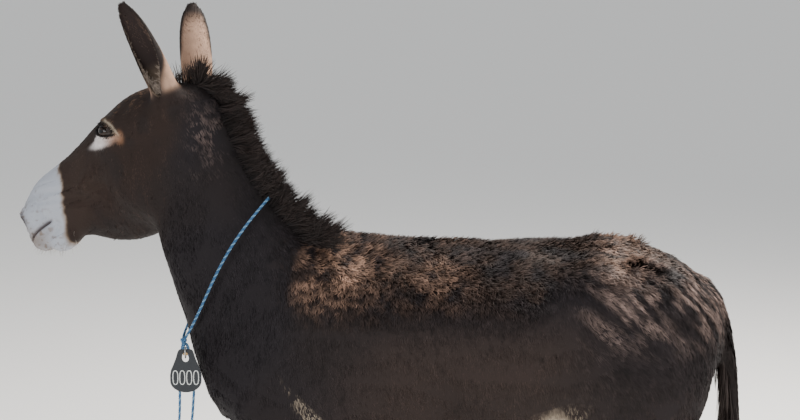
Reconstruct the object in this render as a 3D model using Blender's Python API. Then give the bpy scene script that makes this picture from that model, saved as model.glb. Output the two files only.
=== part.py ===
"""Donkey, life size, standing with its head turned to its right and a rope collar with a tag.

Metres, +Z up. The animal faces -X and its left side faces -Y. Its flesh is one smooth field made of
swept limbs and rounded masses. The field's surface is the outline at the tips of the coat. That
surface is meshed once, thinned, and parted into named solids with thin cuts.
"""
import math

import bmesh
import bpy
import numpy as np

# ---------------------------------------------------------------- driving sizes
ORIGIN = (0.231, -0.071, 0.0)      # moves the body's own frame onto the centre of the whole model
GAP = 0.0003                       # space kept between solids that touch
MESH_STEP = 0.010                  # cell size of the flesh before it is thinned
FLESH_FACES = 3950                 # triangles left in the flesh before it is parted

# Trunk, front to back: x, y, z, half width, half depth above and below the centreline.
TRUNK = [
    (-0.53, 0, 0.890, 0.085, 0.100, 0.120), (-0.47, 0, 0.890, 0.135, 0.165, 0.185),
    (-0.38, 0, 0.885, 0.172, 0.220, 0.250), (-0.25, 0, 0.875, 0.205, 0.248, 0.262),
    (-0.08, 0, 0.870, 0.235, 0.254, 0.272), (0.07, 0, 0.870, 0.245, 0.266, 0.268),
    (0.24, 0, 0.885, 0.226, 0.252, 0.225), (0.34, 0, 0.905, 0.200, 0.245, 0.190),
    (0.42, 0, 0.900, 0.150, 0.200, 0.160), (0.455, 0, 0.890, 0.120, 0.165, 0.140),
]
WITHERS = [
    (-0.46, 0, 1.055, 0.060, 0.080, 0.10), (-0.36, 0, 1.075, 0.060, 0.080, 0.10),
    (-0.22, 0, 1.068, 0.060, 0.062, 0.10), (-0.05, 0, 1.055, 0.050, 0.055, 0.10),
]
# Neck, from the chest up: it leans to the animal's right as it rises.
NECK = [
    (-0.420, 0.000, 0.900, 0.130, 0.200, 0.190), (-0.508, 0.000, 0.991, 0.105, 0.185, 0.165),
    (-0.556, 0.015, 1.086, 0.090, 0.152, 0.160), (-0.602, 0.045, 1.165, 0.077, 0.134, 0.142),
    (-0.634, 0.075, 1.230, 0.070, 0.125, 0.124), (-0.668, 0.103, 1.319, 0.066, 0.118, 0.105),
    (-0.682, 0.125, 1.403, 0.062, 0.096, 0.085),
]
TAIL = [
    (0.425, 0, 1.045, 0.047, 0.047, 0.05), (0.506, 0, 1.013, 0.034, 0.036, 0.04),
    (0.552, 0, 0.957, 0.027, 0.027, 0.028), (0.575, 0, 0.875, 0.022, 0.022, 0.022),
    (0.596, 0, 0.740, 0.020, 0.020, 0.020), (0.604, 0, 0.620, 0.022, 0.024, 0.024),
    (0.607, 0, 0.510, 0.030, 0.036, 0.036), (0.607, 0, 0.410, 0.030, 0.036, 0.036),
    (0.605, 0, 0.340, 0.022, 0.024, 0.024), (0.603, 0, 0.300, 0.010, 0.010, 0.010),
]
# Limbs, top to bottom: x, y (outwards), z, half width, half depth in front and behind.
FORELEG = [
    (-0.31, 0.085, 1.020, 0.055, 0.090, 0.090), (-0.40, 0.120, 0.900, 0.060, 0.100, 0.110),
    (-0.42, 0.130, 0.800, 0.062, 0.095, 0.100), (-0.37, 0.128, 0.700, 0.055, 0.078, 0.072),
    (-0.345, 0.122, 0.600, 0.045, 0.053, 0.053), (-0.345, 0.116, 0.500, 0.035, 0.039, 0.040),
    (-0.350, 0.112, 0.440, 0.031, 0.032, 0.034), (-0.352, 0.110, 0.400, 0.033, 0.036, 0.034),
    (-0.352, 0.110, 0.355, 0.026, 0.026, 0.031), (-0.350, 0.108, 0.270, 0.021, 0.021, 0.027),
    (-0.350, 0.108, 0.200, 0.022, 0.023, 0.028), (-0.354, 0.108, 0.165, 0.027, 0.027, 0.033),
    (-0.370, 0.108, 0.120, 0.023, 0.025, 0.027), (-0.390, 0.108, 0.078, 0.027, 0.030, 0.027),
    (-0.398, 0.108, 0.055, 0.027, 0.030, 0.027),
]
HINDLEG = [
    (0.35, 0.100, 0.990, 0.085, 0.120, 0.130), (0.38, 0.125, 0.900, 0.092, 0.155, 0.150),
    (0.39, 0.132, 0.800, 0.086, 0.150, 0.132), (0.40, 0.132, 0.700, 0.066, 0.115, 0.092),
    (0.435, 0.126, 0.615, 0.050, 0.066, 0.080), (0.495, 0.121, 0.530, 0.036, 0.042, 0.046),
    (0.540, 0.119, 0.465, 0.028, 0.028, 0.044), (0.557, 0.118, 0.420, 0.033, 0.036, 0.044),
    (0.553, 0.117, 0.360, 0.027, 0.027, 0.034), (0.550, 0.116, 0.280, 0.022, 0.023, 0.029),
    (0.548, 0.116, 0.205, 0.023, 0.024, 0.030), (0.545, 0.116, 0.168, 0.028, 0.028, 0.034),
    (0.528, 0.116, 0.120, 0.024, 0.025, 0.027), (0.509, 0.116, 0.078, 0.027, 0.029, 0.026),
    (0.501, 0.116, 0.055, 0.027, 0.029, 0.026),
]
STEP_AHEAD = {"front_left": -0.030, "front_right": 0.028, "hind_left": 0.025, "hind_right": -0.030}

# Head: u runs from the poll to the nose, l to the animal's left, n up from the bridge of the nose.
HEAD_AT = (-0.686, 0.125, 1.497)
HEAD_YAW, HEAD_PITCH, HEAD_SCALE = 30.0, 35.0, 1.13
SKULL = [
    (0.000, 0, -0.078, 0.050, 0.042, 0.055), (0.050, 0, -0.066, 0.066, 0.062, 0.060),
    (0.110, 0, -0.058, 0.078, 0.083, 0.065), (0.180, 0, -0.055, 0.078, 0.085, 0.065),
    (0.240, 0, -0.053, 0.066, 0.081, 0.055), (0.310, 0, -0.048, 0.052, 0.069, 0.045),
    (0.380, 0, -0.045, 0.046, 0.064, 0.042), (0.440, 0, -0.047, 0.045, 0.066, 0.042),
    (0.480, 0, -0.055, 0.040, 0.060, 0.035),
]
JAW = [
    (0.060, 0, -0.130, 0.048, 0.060, 0.075), (0.120, 0, -0.145, 0.060, 0.070, 0.092),
    (0.180, 0, -0.150, 0.064, 0.075, 0.100), (0.240, 0, -0.142, 0.056, 0.070, 0.098),
    (0.300, 0, -0.122, 0.044, 0.060, 0.088), (0.360, 0, -0.100, 0.035, 0.050, 0.068),
    (0.410, 0, -0.092, 0.030, 0.045, 0.050),
]
EYE_AT, EYE_RADIUS = (0.170, 0.069, -0.027), 0.0225
EAR_BASE, EAR_LENGTH = (0.015, 0.050, -0.050), 0.241
# Each ear's direction, the way it opens and how far its tip bends that way: 1 left, -1 right.
EAR_DIRECTION = {1: (-0.285, 0.26, 0.92), -1: (-0.345, -0.26, 0.92)}
EAR_OPENING = {1: (0.10, 0.99, 0.0), -1: (0.62, -0.66, 0.10)}
EAR_CURVE = {1: 0.015, -1: 0.033}
# Ear, base to tip: share of the length, half width, half depth, and how far round the wall wraps.
EAR = [(0, 0.035, 0.031, 165), (0.15, 0.036, 0.031, 150), (0.35, 0.039, 0.028, 118),
       (0.55, 0.039, 0.024, 102), (0.75, 0.035, 0.019, 94), (0.90, 0.026, 0.014, 90),
       (1.0, 0.0125, 0.0095, 88)]
EAR_WALL, EAR_RINGS, EAR_POINTS = 0.0075, 10, 8

HOOF_TOP = 0.064
# Hoof rings, top to bottom: share of the height, forward shift, half width, front and back half length.
HOOF = [(1.0, 0.000, 0.0275, 0.031, 0.029), (0.88, -0.003, 0.0300, 0.034, 0.030),
        (0.06, -0.022, 0.0405, 0.046, 0.036), (0.0, -0.022, 0.0390, 0.0445, 0.0345)]
HOOF_SIDES = 18

ROPE_RADIUS = 0.0034
COAT_CLEAR = 0.003                 # the collar stands this far off the outline of the coat
COLLAR_CREST, KNOT_AT, KNOT_SIZE, COLLAR_BOW = (-0.478, 0.0, 1.192), (-0.658, -0.060, 0.905), 0.0085, 0.02
TAG_WIDTH, TAG_HEIGHT, TAG_THICK, TAG_SLOT = 0.070, 0.098, 0.003, (0.016, 0.022)
TAG_AT = (-0.648, -0.112, 0.798)
CLIP_AT, CLIP_RADIUS, CLIP_LONG, CLIP_WIRE = (-0.648, -0.110, 0.888), 0.010, 0.012, 0.0012
ROPE_ENDS = {
    "rope_end_1": [(-0.659, -0.0690, 0.899), (-0.662, -0.085, 0.870), (-0.663, -0.098, 0.820),
                   (-0.664, -0.100, 0.760), (-0.668, -0.100, 0.690)],
    "rope_end_2": [(-0.650, -0.0650, 0.899), (-0.640, -0.085, 0.865), (-0.632, -0.098, 0.820),
                   (-0.634, -0.104, 0.760), (-0.640, -0.106, 0.700)],
}
HEAD_CUT_AT, HEAD_CUT_NORMAL = (0.060, 0, -0.150), (0.740, 0.670)
NECK_CUT_AT, NECK_CUT_NORMAL = (-0.500, 0.0, 1.035), (-0.797, 0.0, 0.604)
# For the front and hind legs: where the cut starts and ends along X, and its inner and outer height.
LEG_CUTS = {"front": (-0.520, -0.280, (0.590, 0.760)), "hind": (0.262, 0.700, (0.640, 0.900))}
TAIL_SWITCH_TOP = 0.620
HAIR_STEP, MANE_FACES, TAIL_FACES = 0.008, 300, 260    # cell size and triangles of the mane and tail
NECK_STEPS, MANE_START = 40, 8                         # stations of the neck, and where the mane starts
MANE_LOW, MANE_HIGH, MANE_HALF, MANE_ROOT = 0.020, 0.070, 0.020, 0.030
# The mane's end between the ears: place on the head, half width, height and depth of the root.
MANE_POLL = [((0.0, 0, -0.035), 0.022, 0.075, 0.03), ((0.050, 0, -0.016), 0.016, 0.040, 0.02)]
# The boxes that the flesh, the mane and the tail are meshed in.
FLESH_BOX, MANE_BOX = ((-1.3, -0.45, -0.05), (0.8, 0.6, 1.8)), ((-1.0, -0.4, 0.9), (-0.2, 0.5, 1.7))
TAIL_BOX = ((0.3, -0.2, 0.2), (0.8, 0.2, 1.2))
# The boxes that part the head and neck off, from low to high along the cut's own axes.
HEAD_BOX, NECK_BOX = ((0.0, -0.4, -0.37), (0.9, 0.4, 0.30)), ((0.0, -0.5, -0.34), (0.9, 0.5, 0.34))
LOOKS = {
    "coat": ((0.030, 0.020, 0.016), 0.85), "mane": ((0.012, 0.009, 0.008), 0.80),
    "eye": ((0.010, 0.006, 0.004), 0.10), "horn": ((0.030, 0.026, 0.022), 0.50),
    "rope": ((0.070, 0.220, 0.480), 0.60), "tag": ((0.012, 0.022, 0.026), 0.45),
    "clip": ((0.500, 0.500, 0.480), 0.35, 1.0),
}


# ---------------------------------------------------------------- the field of the flesh
def smooth_min(a, b, k):
    h = np.maximum(k - np.abs(a - b), 0.0) / k
    return np.minimum(a, b) - h * h * k * 0.25


def unit(v):
    v = np.asarray(v, float)
    return v / np.linalg.norm(v, axis=-1, keepdims=True)


def resample(rows, count):
    """A smooth curve through the rows, read at count even steps of its chord."""
    rows = np.asarray(rows, float)
    run = np.diff(rows[:, :3], axis=0) if rows.shape[1] > 4 else np.diff(rows[:, :1], axis=0)
    chord = np.concatenate([[0], np.cumsum(np.linalg.norm(run, axis=1))])
    slope = np.gradient(rows, chord, axis=0)
    at = np.linspace(0, chord[-1], count)
    i = np.clip(np.searchsorted(chord, at, side="right") - 1, 0, len(rows) - 2)
    h = (chord[i + 1] - chord[i])[:, None]
    t = (at - chord[i])[:, None] / h
    a, b, slope_a, slope_b = rows[i], rows[i + 1], slope[i] * h, slope[i + 1] * h
    return (a * (2 * t**3 - 3 * t**2 + 1) + slope_a * (t**3 - 2 * t**2 + t)
            + b * (3 * t**2 - 2 * t**3) + slope_b * (t**3 - t**2))


def section(y, z, x, a, b, c):
    """First-order distance to an ellipsoid with half sizes a, b and c."""
    k = np.sqrt((y / a) ** 2 + (z / b) ** 2 + (x / c) ** 2) + 1e-6
    slope = np.sqrt((y / a**2) ** 2 + (z / b**2) ** 2 + (x / c**2) ** 2) / k
    return (k - 1) / np.maximum(slope, 0.3 / np.maximum(a, b))


class Shape:
    """A rounded mass that knows the box it lies in."""

    def near(self, p, margin):
        return np.all((p > self.low - margin) & (p < self.high + margin), axis=1)


class Sweep(Shape):
    """A mass swept along a curve. Each station is a point, a half width towards the given side,
    and the half depths above and below it."""

    def __init__(self, stations, side, count=36):
        rows = resample(stations, count)
        self.centre = rows[:, :3]
        self.size = np.maximum(rows[:, 3:6], 0.004)
        self.along = unit(np.gradient(self.centre, axis=0))
        side = np.asarray(side, float)
        self.across = unit(side - self.along * (self.along @ side)[:, None])
        self.over = np.cross(self.along, self.across)
        self.step = np.linalg.norm(np.diff(self.centre, axis=0), axis=1).mean()
        self.low = self.centre.min(0) - self.size.max()
        self.high = self.centre.max(0) + self.size.max()

    def place(self, p):
        """For each point, its place along the curve in steps, past the ends too."""
        gap = (p**2).sum(1)[:, None] - 2 * p @ self.centre.T + (self.centre**2).sum(1)[None]
        nearest = gap.argmin(1)
        shift = ((p - self.centre[nearest]) * self.along[nearest]).sum(1) / self.step
        return nearest + np.clip(shift, -1, 1)

    def distance(self, p):
        last = len(self.centre) - 1
        raw = self.place(p)
        place = np.clip(raw, 0, last)
        i = np.minimum(place.astype(int), last - 1)
        t = (place - i)[:, None]

        def mix(table):
            return table[i] * (1 - t) + table[i + 1] * t

        v = p - mix(self.centre)
        size = mix(self.size)
        z = (v * mix(self.over)).sum(1)
        half_depth = np.where(z > 0, size[:, 1], size[:, 2])
        x = np.where((raw < 0) | (raw > last), (v * mix(self.along)).sum(1), 0.0)
        return section((v * mix(self.across)).sum(1), z, x,
                       size[:, 0], half_depth, np.minimum(size[:, 0], half_depth))


class Ball(Shape):
    """An ellipsoid. The rows of axes are its own directions."""

    def __init__(self, centre, radii, axes=None):
        self.centre = np.asarray(centre, float)
        self.radii = np.asarray(radii, float)
        self.axes = np.eye(3) if axes is None else np.asarray(axes, float)
        self.low = self.centre - self.radii.max()
        self.high = self.centre + self.radii.max()

    def distance(self, p):
        v = (p - self.centre) @ self.axes.T
        return section(v[:, 0], v[:, 1], v[:, 2], *self.radii)


FAR = 0.5
MARGIN = 0.14


def field(steps, p):
    """Distance to the flesh: each step is a shape, its blend width, and 1 to add or -1 to carve."""
    total = np.full(len(p), FAR)
    for shape, blend, sign in steps:
        near = shape.near(p, blend + MARGIN)
        if near.any():
            distance = shape.distance(p[near])
            if sign > 0:
                total[near] = smooth_min(total[near], distance, blend)
            else:
                total[near] = -smooth_min(-total[near], distance, blend)
    return total


# ---------------------------------------------------------------- anatomy
def head_axes():
    """Rows: towards the nose, to the animal's left, and up from the bridge of the nose."""
    yaw, pitch = math.radians(HEAD_YAW), math.radians(HEAD_PITCH)
    level = np.array([-math.cos(yaw), math.sin(yaw), 0.0])
    up = np.array([0.0, 0.0, 1.0])
    left = np.cross(up, level)
    nose = level * math.cos(pitch) - up * math.sin(pitch)
    top = level * math.sin(pitch) + up * math.cos(pitch)
    return np.stack([nose, left, top])


HEAD_AXES = head_axes()
NECK_SIDE = HEAD_AXES[1] * 0.5 + np.array((0.0, -0.5, 0.0))   # the way the neck's width is measured


def on_head(point):
    return np.asarray(HEAD_AT) + HEAD_SCALE * np.asarray(point, float) @ HEAD_AXES


def head_ball(point, radii, turn=0.0):
    """An ellipsoid on the head, turned nose-down by some degrees about the left axis."""
    angle = math.radians(turn)
    spin = np.array([[math.cos(angle), 0, -math.sin(angle)], [0, 1, 0],
                     [math.sin(angle), 0, math.cos(angle)]])
    return Ball(on_head(point), np.asarray(radii) * HEAD_SCALE, spin @ HEAD_AXES)


def head_sweep(stations, count=30):
    rows = [(*on_head(row[:3]), *(HEAD_SCALE * size for size in row[3:])) for row in stations]
    return Sweep(rows, HEAD_AXES[1], count)


def head_steps():
    steps = [(head_sweep(SKULL), 0.05, 1), (head_sweep(JAW), 0.05, 1)]
    for side in (1, -1):
        steps += [
            (head_ball((0.160, side * 0.046, -0.140), (0.088, 0.036, 0.088), 20), 0.035, 1),
            (head_ball((0.178, side * 0.066, -0.034), (0.042, 0.024, 0.026), 8), 0.030, 1),
            (head_ball((0.105, side * 0.064, -0.058), (0.060, 0.018, 0.020), -8), 0.030, 1),
            (head_ball((0.245, side * 0.050, -0.068), (0.070, 0.011, 0.014), 4), 0.035, 1),
            (head_ball((0.475, side * 0.031, -0.050), (0.032, 0.022, 0.028), 20), 0.025, 1),
        ]
    steps += [
        (head_ball((0.135, 0, -0.030), (0.090, 0.072, 0.038), 2), 0.040, 1),
        (head_ball((0.482, 0, -0.075), (0.044, 0.046, 0.038), 40), 0.030, 1),
        (head_ball((0.505, 0, -0.096), (0.026, 0.038, 0.022), 60), 0.020, 1),
        (head_ball((0.452, 0, -0.122), (0.042, 0.034, 0.026), 5), 0.025, 1),
    ]
    return steps


def limb(stations, side, ahead):
    """A leg's stations on one side, its foot moved ahead or back from below the elbow or hip."""
    top = stations[0][2]
    rows = []
    for x, y, z, *sizes in stations:
        share = (top - z) / top
        rows.append((x + ahead * share**1.5, side * y, z, *sizes))
    return rows


LEGS = {
    "front_left": (FORELEG, -1), "front_right": (FORELEG, 1),
    "hind_left": (HINDLEG, -1), "hind_right": (HINDLEG, 1),
}


def leg_rows(name):
    stations, side = LEGS[name]
    return limb(stations, side, STEP_AHEAD[name])


def flesh_steps():
    left = (0.0, -1.0, 0.0)
    right = (0.0, 1.0, 0.0)
    steps = [(Sweep(TRUNK, right, 48), 0.02, 1), (Sweep(WITHERS, right, 20), 0.08, 1)]
    for side in (1, -1):
        steps += [
            (Ball((-0.530, side * 0.060, 0.830), (0.082, 0.072, 0.115)), 0.06, 1),
            (Ball((-0.500, side * 0.115, 0.800), (0.062, 0.055, 0.075)), 0.05, 1),
            (Ball((0.270, side * 0.130, 1.035), (0.070, 0.060, 0.060)), 0.07, 1),
            (Ball((0.425, side * 0.070, 0.940), (0.105, 0.075, 0.120)), 0.07, 1),
        ]
    steps += [(Sweep(leg_rows(name), left, 64), 0.06, 1) for name in LEGS]
    steps += [(Sweep(NECK, NECK_SIDE, NECK_STEPS), 0.09, 1)]
    return steps + head_steps()


def mane_sweep():
    """The standing mane along the crest of the neck. It grows taller for its first stretch."""
    neck = Sweep(NECK, NECK_SIDE, NECK_STEPS)
    rows = []
    for i in range(MANE_START, NECK_STEPS, 3):
        crest = neck.centre[i] + neck.over[i] * neck.size[i, 1]
        share = (i - MANE_START) / (NECK_STEPS - 1 - MANE_START)
        height = MANE_LOW + (MANE_HIGH - MANE_LOW) * min(1.0, share * 2.2)
        rows.append((*crest, MANE_HALF, height, MANE_ROOT))
    rows += [(*on_head(place), *sizes) for place, *sizes in MANE_POLL]
    return Sweep(rows, NECK_SIDE, NECK_STEPS)


# ---------------------------------------------------------------- from field to mesh
BLOCK = 6                          # cells along each side of a block
WORLD_AXES = np.eye(3)


def surface_net(steps, low, high, step, level=0.0):
    """Vertices and quads of the field's surface, on cells of one step, worked in blocks near it."""
    low = np.asarray(low, float)
    count = np.ceil((np.asarray(high) - low) / (step * BLOCK)).astype(int)
    blocks = np.stack(np.meshgrid(*[np.arange(n) for n in count], indexing="ij"), -1).reshape(-1, 3)
    centres = low + (blocks + 0.5) * step * BLOCK
    blocks = blocks[np.abs(field(steps, centres) - level) < step * BLOCK * 1.15]
    ramp = np.arange(BLOCK + 1)
    corner = np.stack(np.meshgrid(ramp, ramp, ramp, indexing="ij"), -1).reshape(-1, 3)
    values, cells = [], []
    for start in range(0, len(blocks), 400):
        part = blocks[start:start + 400]
        grid = (part[:, None] * BLOCK + corner[None]).reshape(-1, 3)
        found = (field(steps, low + grid * step) - level).reshape(-1, BLOCK + 1, BLOCK + 1, BLOCK + 1)
        pieces = [found[:, i:i + BLOCK, j:j + BLOCK, k:k + BLOCK]
                  for i in (0, 1) for j in (0, 1) for k in (0, 1)]
        eight = np.stack(pieces, -1)
        inside = (eight < 0).sum(-1)
        b, i, j, k = np.nonzero((inside > 0) & (inside < 8))
        values.append(eight[b, i, j, k])
        cells.append(part[b] * BLOCK + np.stack([i, j, k], 1))
    values, cells = np.concatenate(values), np.concatenate(cells)
    offsets = np.array([(i, j, k) for i in (0, 1) for j in (0, 1) for k in (0, 1)])
    total, weight = np.zeros((len(cells), 3)), np.zeros(len(cells))
    for a in range(8):
        for b in range(a + 1, 8):
            if np.abs(offsets[a] - offsets[b]).sum() == 1:
                cross = (values[:, a] < 0) != (values[:, b] < 0)
                share = values[cross, a] / (values[cross, a] - values[cross, b])
                total[cross] += offsets[a] + share[:, None] * (offsets[b] - offsets[a])
                weight[cross] += 1
    vertices = low + (cells + total / weight[:, None]) * step
    span = count * BLOCK + 2
    key = ((cells[:, 0] + 1) * span[1] + cells[:, 1] + 1) * span[2] + cells[:, 2] + 1
    order = np.argsort(key)
    key_sorted = key[order]
    quads = []
    strides = np.array([span[1] * span[2], span[2], 1])
    for axis, tip in ((0, 4), (1, 2), (2, 1)):
        first, second = strides[(axis + 1) % 3], strides[(axis + 2) % 3]
        base_in, tip_in = values[:, 0] < 0, values[:, tip] < 0
        for rising in (True, False):
            pick = np.nonzero((base_in & ~tip_in) if rising else (~base_in & tip_in))[0]
            ring = np.stack([key[pick], key[pick] - first, key[pick] - first - second,
                             key[pick] - second], 1)
            if not rising:
                ring = ring[:, ::-1]
            at = np.searchsorted(key_sorted, ring)
            at = np.minimum(at, len(key_sorted) - 1)
            whole = (key_sorted[at] == ring).all(1)
            quads.append(order[at[whole]])
    return vertices, np.concatenate(quads)


# ---------------------------------------------------------------- Blender objects
def clear_scene():
    for thing in list(bpy.data.objects):
        bpy.data.objects.remove(thing, do_unlink=True)


def material(name, colour, roughness, metallic=0.0):
    made = bpy.data.materials.new(name)
    made.use_nodes = True
    shader = made.node_tree.nodes["Principled BSDF"]
    shader.inputs["Base Color"].default_value = (*colour, 1.0)
    shader.inputs["Roughness"].default_value = roughness
    shader.inputs["Metallic"].default_value = metallic
    return made


def mesh_object(name, vertices, faces, look, smooth=True):
    mesh = bpy.data.meshes.new(name)
    mesh.from_pydata([tuple(v) for v in vertices], [], [tuple(f) for f in faces])
    made = bpy.data.objects.new(name, mesh)
    bpy.context.collection.objects.link(made)
    made.data.materials.append(look)
    if smooth:
        made.data.polygons.foreach_set("use_smooth", [True] * len(made.data.polygons))
    made.data.update()
    return made


def settle(thing):
    """Applies an object's modifiers to its own mesh."""
    graph = bpy.context.evaluated_depsgraph_get()
    mesh = bpy.data.meshes.new_from_object(thing.evaluated_get(graph))
    thing.modifiers.clear()
    thing.data = mesh
    return thing


def thin(thing, faces):
    """Collapses a mesh to a number of triangles, keeping its form."""
    triangles = sum(len(p.vertices) - 2 for p in thing.data.polygons)
    modifier = thing.modifiers.new("thin", "DECIMATE")
    modifier.ratio = min(1.0, faces / triangles)
    modifier.use_collapse_triangulate = True
    return mended(settle(thing))


def mended(thing):
    """Closes up edges that more than two faces share, so that the surface is a simple one."""
    work = bmesh.new()
    work.from_mesh(thing.data)
    for _ in range(4):
        pinched = [edge for edge in work.edges if len(edge.link_faces) > 2]
        if not pinched:
            break
        bmesh.ops.collapse(work, edges=pinched)
        bmesh.ops.dissolve_degenerate(work, dist=1e-6, edges=work.edges)
    bmesh.ops.triangulate(work, faces=work.faces)
    work.to_mesh(thing.data)
    work.free()
    return thing


def boolean(thing, cutter, operation):
    modifier = thing.modifiers.new("cut", "BOOLEAN")
    modifier.operation = operation
    modifier.object = cutter
    modifier.solver = "EXACT"
    return mended(settle(thing))


def grown(thing, amount):
    """A copy pushed outwards along its normals."""
    copy = bpy.data.objects.new("grown", bpy.data.meshes.new_from_object(thing))
    bpy.context.collection.objects.link(copy)
    normals = [vertex.normal.copy() for vertex in copy.data.vertices]
    for vertex, normal in zip(copy.data.vertices, normals):
        vertex.co += normal * amount
    copy.data.update()
    return copy


def clear_of(thing, neighbour):
    """Trims a solid so that it stands off its neighbour by the gap."""
    cutter = grown(neighbour, GAP * 1.3)
    boolean(thing, cutter, "DIFFERENCE")
    bpy.data.objects.remove(cutter, do_unlink=True)
    return thing


def largest_piece(thing):
    """Drops crumbs that a cut may leave beside the main solid."""
    work = bmesh.new()
    work.from_mesh(thing.data)
    work.verts.ensure_lookup_table()
    seen, pieces = set(), []
    for vertex in work.verts:
        if vertex in seen:
            continue
        group, queue = [], [vertex]
        seen.add(vertex)
        while queue:
            here = queue.pop()
            group.append(here)
            for edge in here.link_edges:
                there = edge.other_vert(here)
                if there not in seen:
                    seen.add(there)
                    queue.append(there)
        pieces.append(group)
    pieces.sort(key=len)
    crumbs = [vertex for group in pieces[:-1] for vertex in group]
    bmesh.ops.delete(work, geom=crumbs, context="VERTS")
    work.to_mesh(thing.data)
    work.free()
    return thing


def box_cutter(centre, axes, low, high):
    """A box with its own axes (rows), from low to high along them, seen from its centre."""
    corners = [np.asarray(centre) + np.array([x, y, z]) @ np.asarray(axes)
               for x in (low[0], high[0]) for y in (low[1], high[1]) for z in (low[2], high[2])]
    faces = [(0, 1, 3, 2), (4, 6, 7, 5), (0, 4, 5, 1), (2, 3, 7, 6), (0, 2, 6, 4), (1, 5, 7, 3)]
    made = mesh_object("cutter", corners, faces, bpy.data.materials[0], smooth=False)
    work = bmesh.new()
    work.from_mesh(made.data)
    bmesh.ops.recalc_face_normals(work, faces=work.faces)
    work.to_mesh(made.data)
    work.free()
    return made


def part_off(rest, name, look, centre, axes, low, high):
    """Cuts the part of a solid inside a box away as its own object, with a thin gap between."""
    piece = rest.copy()
    piece.data = rest.data.copy()
    piece.name = name
    bpy.context.collection.objects.link(piece)
    piece.data.materials.clear()
    piece.data.materials.append(look)
    for thing, operation, spare in ((piece, "INTERSECT", -GAP / 2), (rest, "DIFFERENCE", GAP / 2)):
        cutter = box_cutter(centre, axes, np.asarray(low) - spare, np.asarray(high) + spare)
        boolean(thing, cutter, operation)
        bpy.data.objects.remove(cutter, do_unlink=True)
        largest_piece(thing)
    return piece


# ---------------------------------------------------------------- the pieces
def ear_object(name, side, look):
    """A leaf-shaped shell lofted from base to tip: its outer wall, its rims and its inner wall."""
    axis = unit(np.array(EAR_DIRECTION[side]) @ HEAD_AXES)
    opening = np.array(EAR_OPENING[side]) @ HEAD_AXES
    opening = unit(opening - axis * (axis @ opening))
    across = np.cross(opening, axis)
    base = on_head((EAR_BASE[0], side * EAR_BASE[1], EAR_BASE[2]))
    vertices, faces = [], []
    for share, width, depth, wrap in resample(EAR, EAR_RINGS):
        middle = base + axis * EAR_LENGTH * share + opening * EAR_CURVE[side] * share**2
        wall = EAR_WALL * (1 - 0.35 * share)
        for inward in (0.0, wall):
            for angle in np.radians(np.linspace(-wrap, wrap, EAR_POINTS)):
                vertices.append(middle + across * math.sin(angle) * (width - inward)
                                - opening * math.cos(angle) * (depth - inward))
    ring = 2 * EAR_POINTS
    for row in range(EAR_RINGS - 1):
        for i in range(EAR_POINTS - 1):
            a, b = row * ring + i, row * ring + EAR_POINTS + i
            faces.append((a, a + ring, a + ring + 1, a + 1))
            faces.append((b, b + 1, b + ring + 1, b + ring))
        for i in (0, EAR_POINTS - 1):
            a, b = row * ring + i, row * ring + EAR_POINTS + i
            faces.append((a, b, b + ring, a + ring) if i == 0 else (a, a + ring, b + ring, b))
    for row in (0, EAR_RINGS - 1):
        for i in range(EAR_POINTS - 1):
            a, b = row * ring + i, row * ring + EAR_POINTS + i
            faces.append((a, a + 1, b + 1, b) if row == 0 else (a, b, b + 1, a + 1))
    made = mesh_object(name, vertices, faces, look)
    work = bmesh.new()
    work.from_mesh(made.data)
    bmesh.ops.recalc_face_normals(work, faces=work.faces)
    work.to_mesh(made.data)
    work.free()
    return made


def hoof(name, foot, look):
    """A hoof lofted from rings, its sole flat on the floor. The front of the toe faces -X."""
    rings, faces = [], []
    for share, shift, half_width, toe, heel in HOOF:
        for turn in range(HOOF_SIDES):
            angle = 2 * math.pi * turn / HOOF_SIDES
            reach = toe if math.cos(angle) > 0 else heel
            rings.append((foot[0] + shift - math.cos(angle) * reach,
                          foot[1] + math.sin(angle) * half_width, share * (HOOF_TOP - GAP)))
    for ring in range(len(HOOF) - 1):
        for turn in range(HOOF_SIDES):
            a, b = ring * HOOF_SIDES + turn, ring * HOOF_SIDES + (turn + 1) % HOOF_SIDES
            faces.append((a, b, b + HOOF_SIDES, a + HOOF_SIDES))
    faces.append(tuple(range(HOOF_SIDES))[::-1])
    faces.append(tuple(range((len(HOOF) - 1) * HOOF_SIDES, len(HOOF) * HOOF_SIDES)))
    return mesh_object(name, rings, faces, look, smooth=False)


def ball_object(name, centre, radii, look, turns=14, rings=10):
    work = bmesh.new()
    bmesh.ops.create_uvsphere(work, u_segments=turns, v_segments=rings, radius=1.0)
    bmesh.ops.scale(work, vec=radii, verts=work.verts)
    bmesh.ops.translate(work, vec=centre, verts=work.verts)
    mesh = bpy.data.meshes.new(name)
    work.to_mesh(mesh)
    work.free()
    made = bpy.data.objects.new(name, mesh)
    bpy.context.collection.objects.link(made)
    made.data.materials.append(look)
    mesh.polygons.foreach_set("use_smooth", [True] * len(mesh.polygons))
    return made


def tube(name, points, radius, look, closed=False):
    """A cord or wire along a list of points."""
    curve = bpy.data.curves.new(name, "CURVE")
    curve.dimensions = "3D"
    curve.bevel_depth = radius
    curve.bevel_resolution = 1
    curve.use_fill_caps = True
    spline = curve.splines.new("POLY")
    spline.points.add(len(points) - 1)
    for point, place in zip(spline.points, points):
        point.co = (*place, 1.0)
    spline.use_cyclic_u = closed
    made = bpy.data.objects.new(name, curve)
    bpy.context.collection.objects.link(made)
    curve.materials.append(look)
    return made


def even_points(points, spacing):
    """The same open line, read at even steps of about the spacing."""
    points = np.asarray(points, float)
    run = np.concatenate([[0], np.cumsum(np.linalg.norm(np.diff(points, axis=0), axis=1))])
    at = np.linspace(0, run[-1], max(2, round(run[-1] / spacing)) + 1)
    return np.stack([np.interp(at, run, points[:, i]) for i in range(3)], 1)


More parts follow.
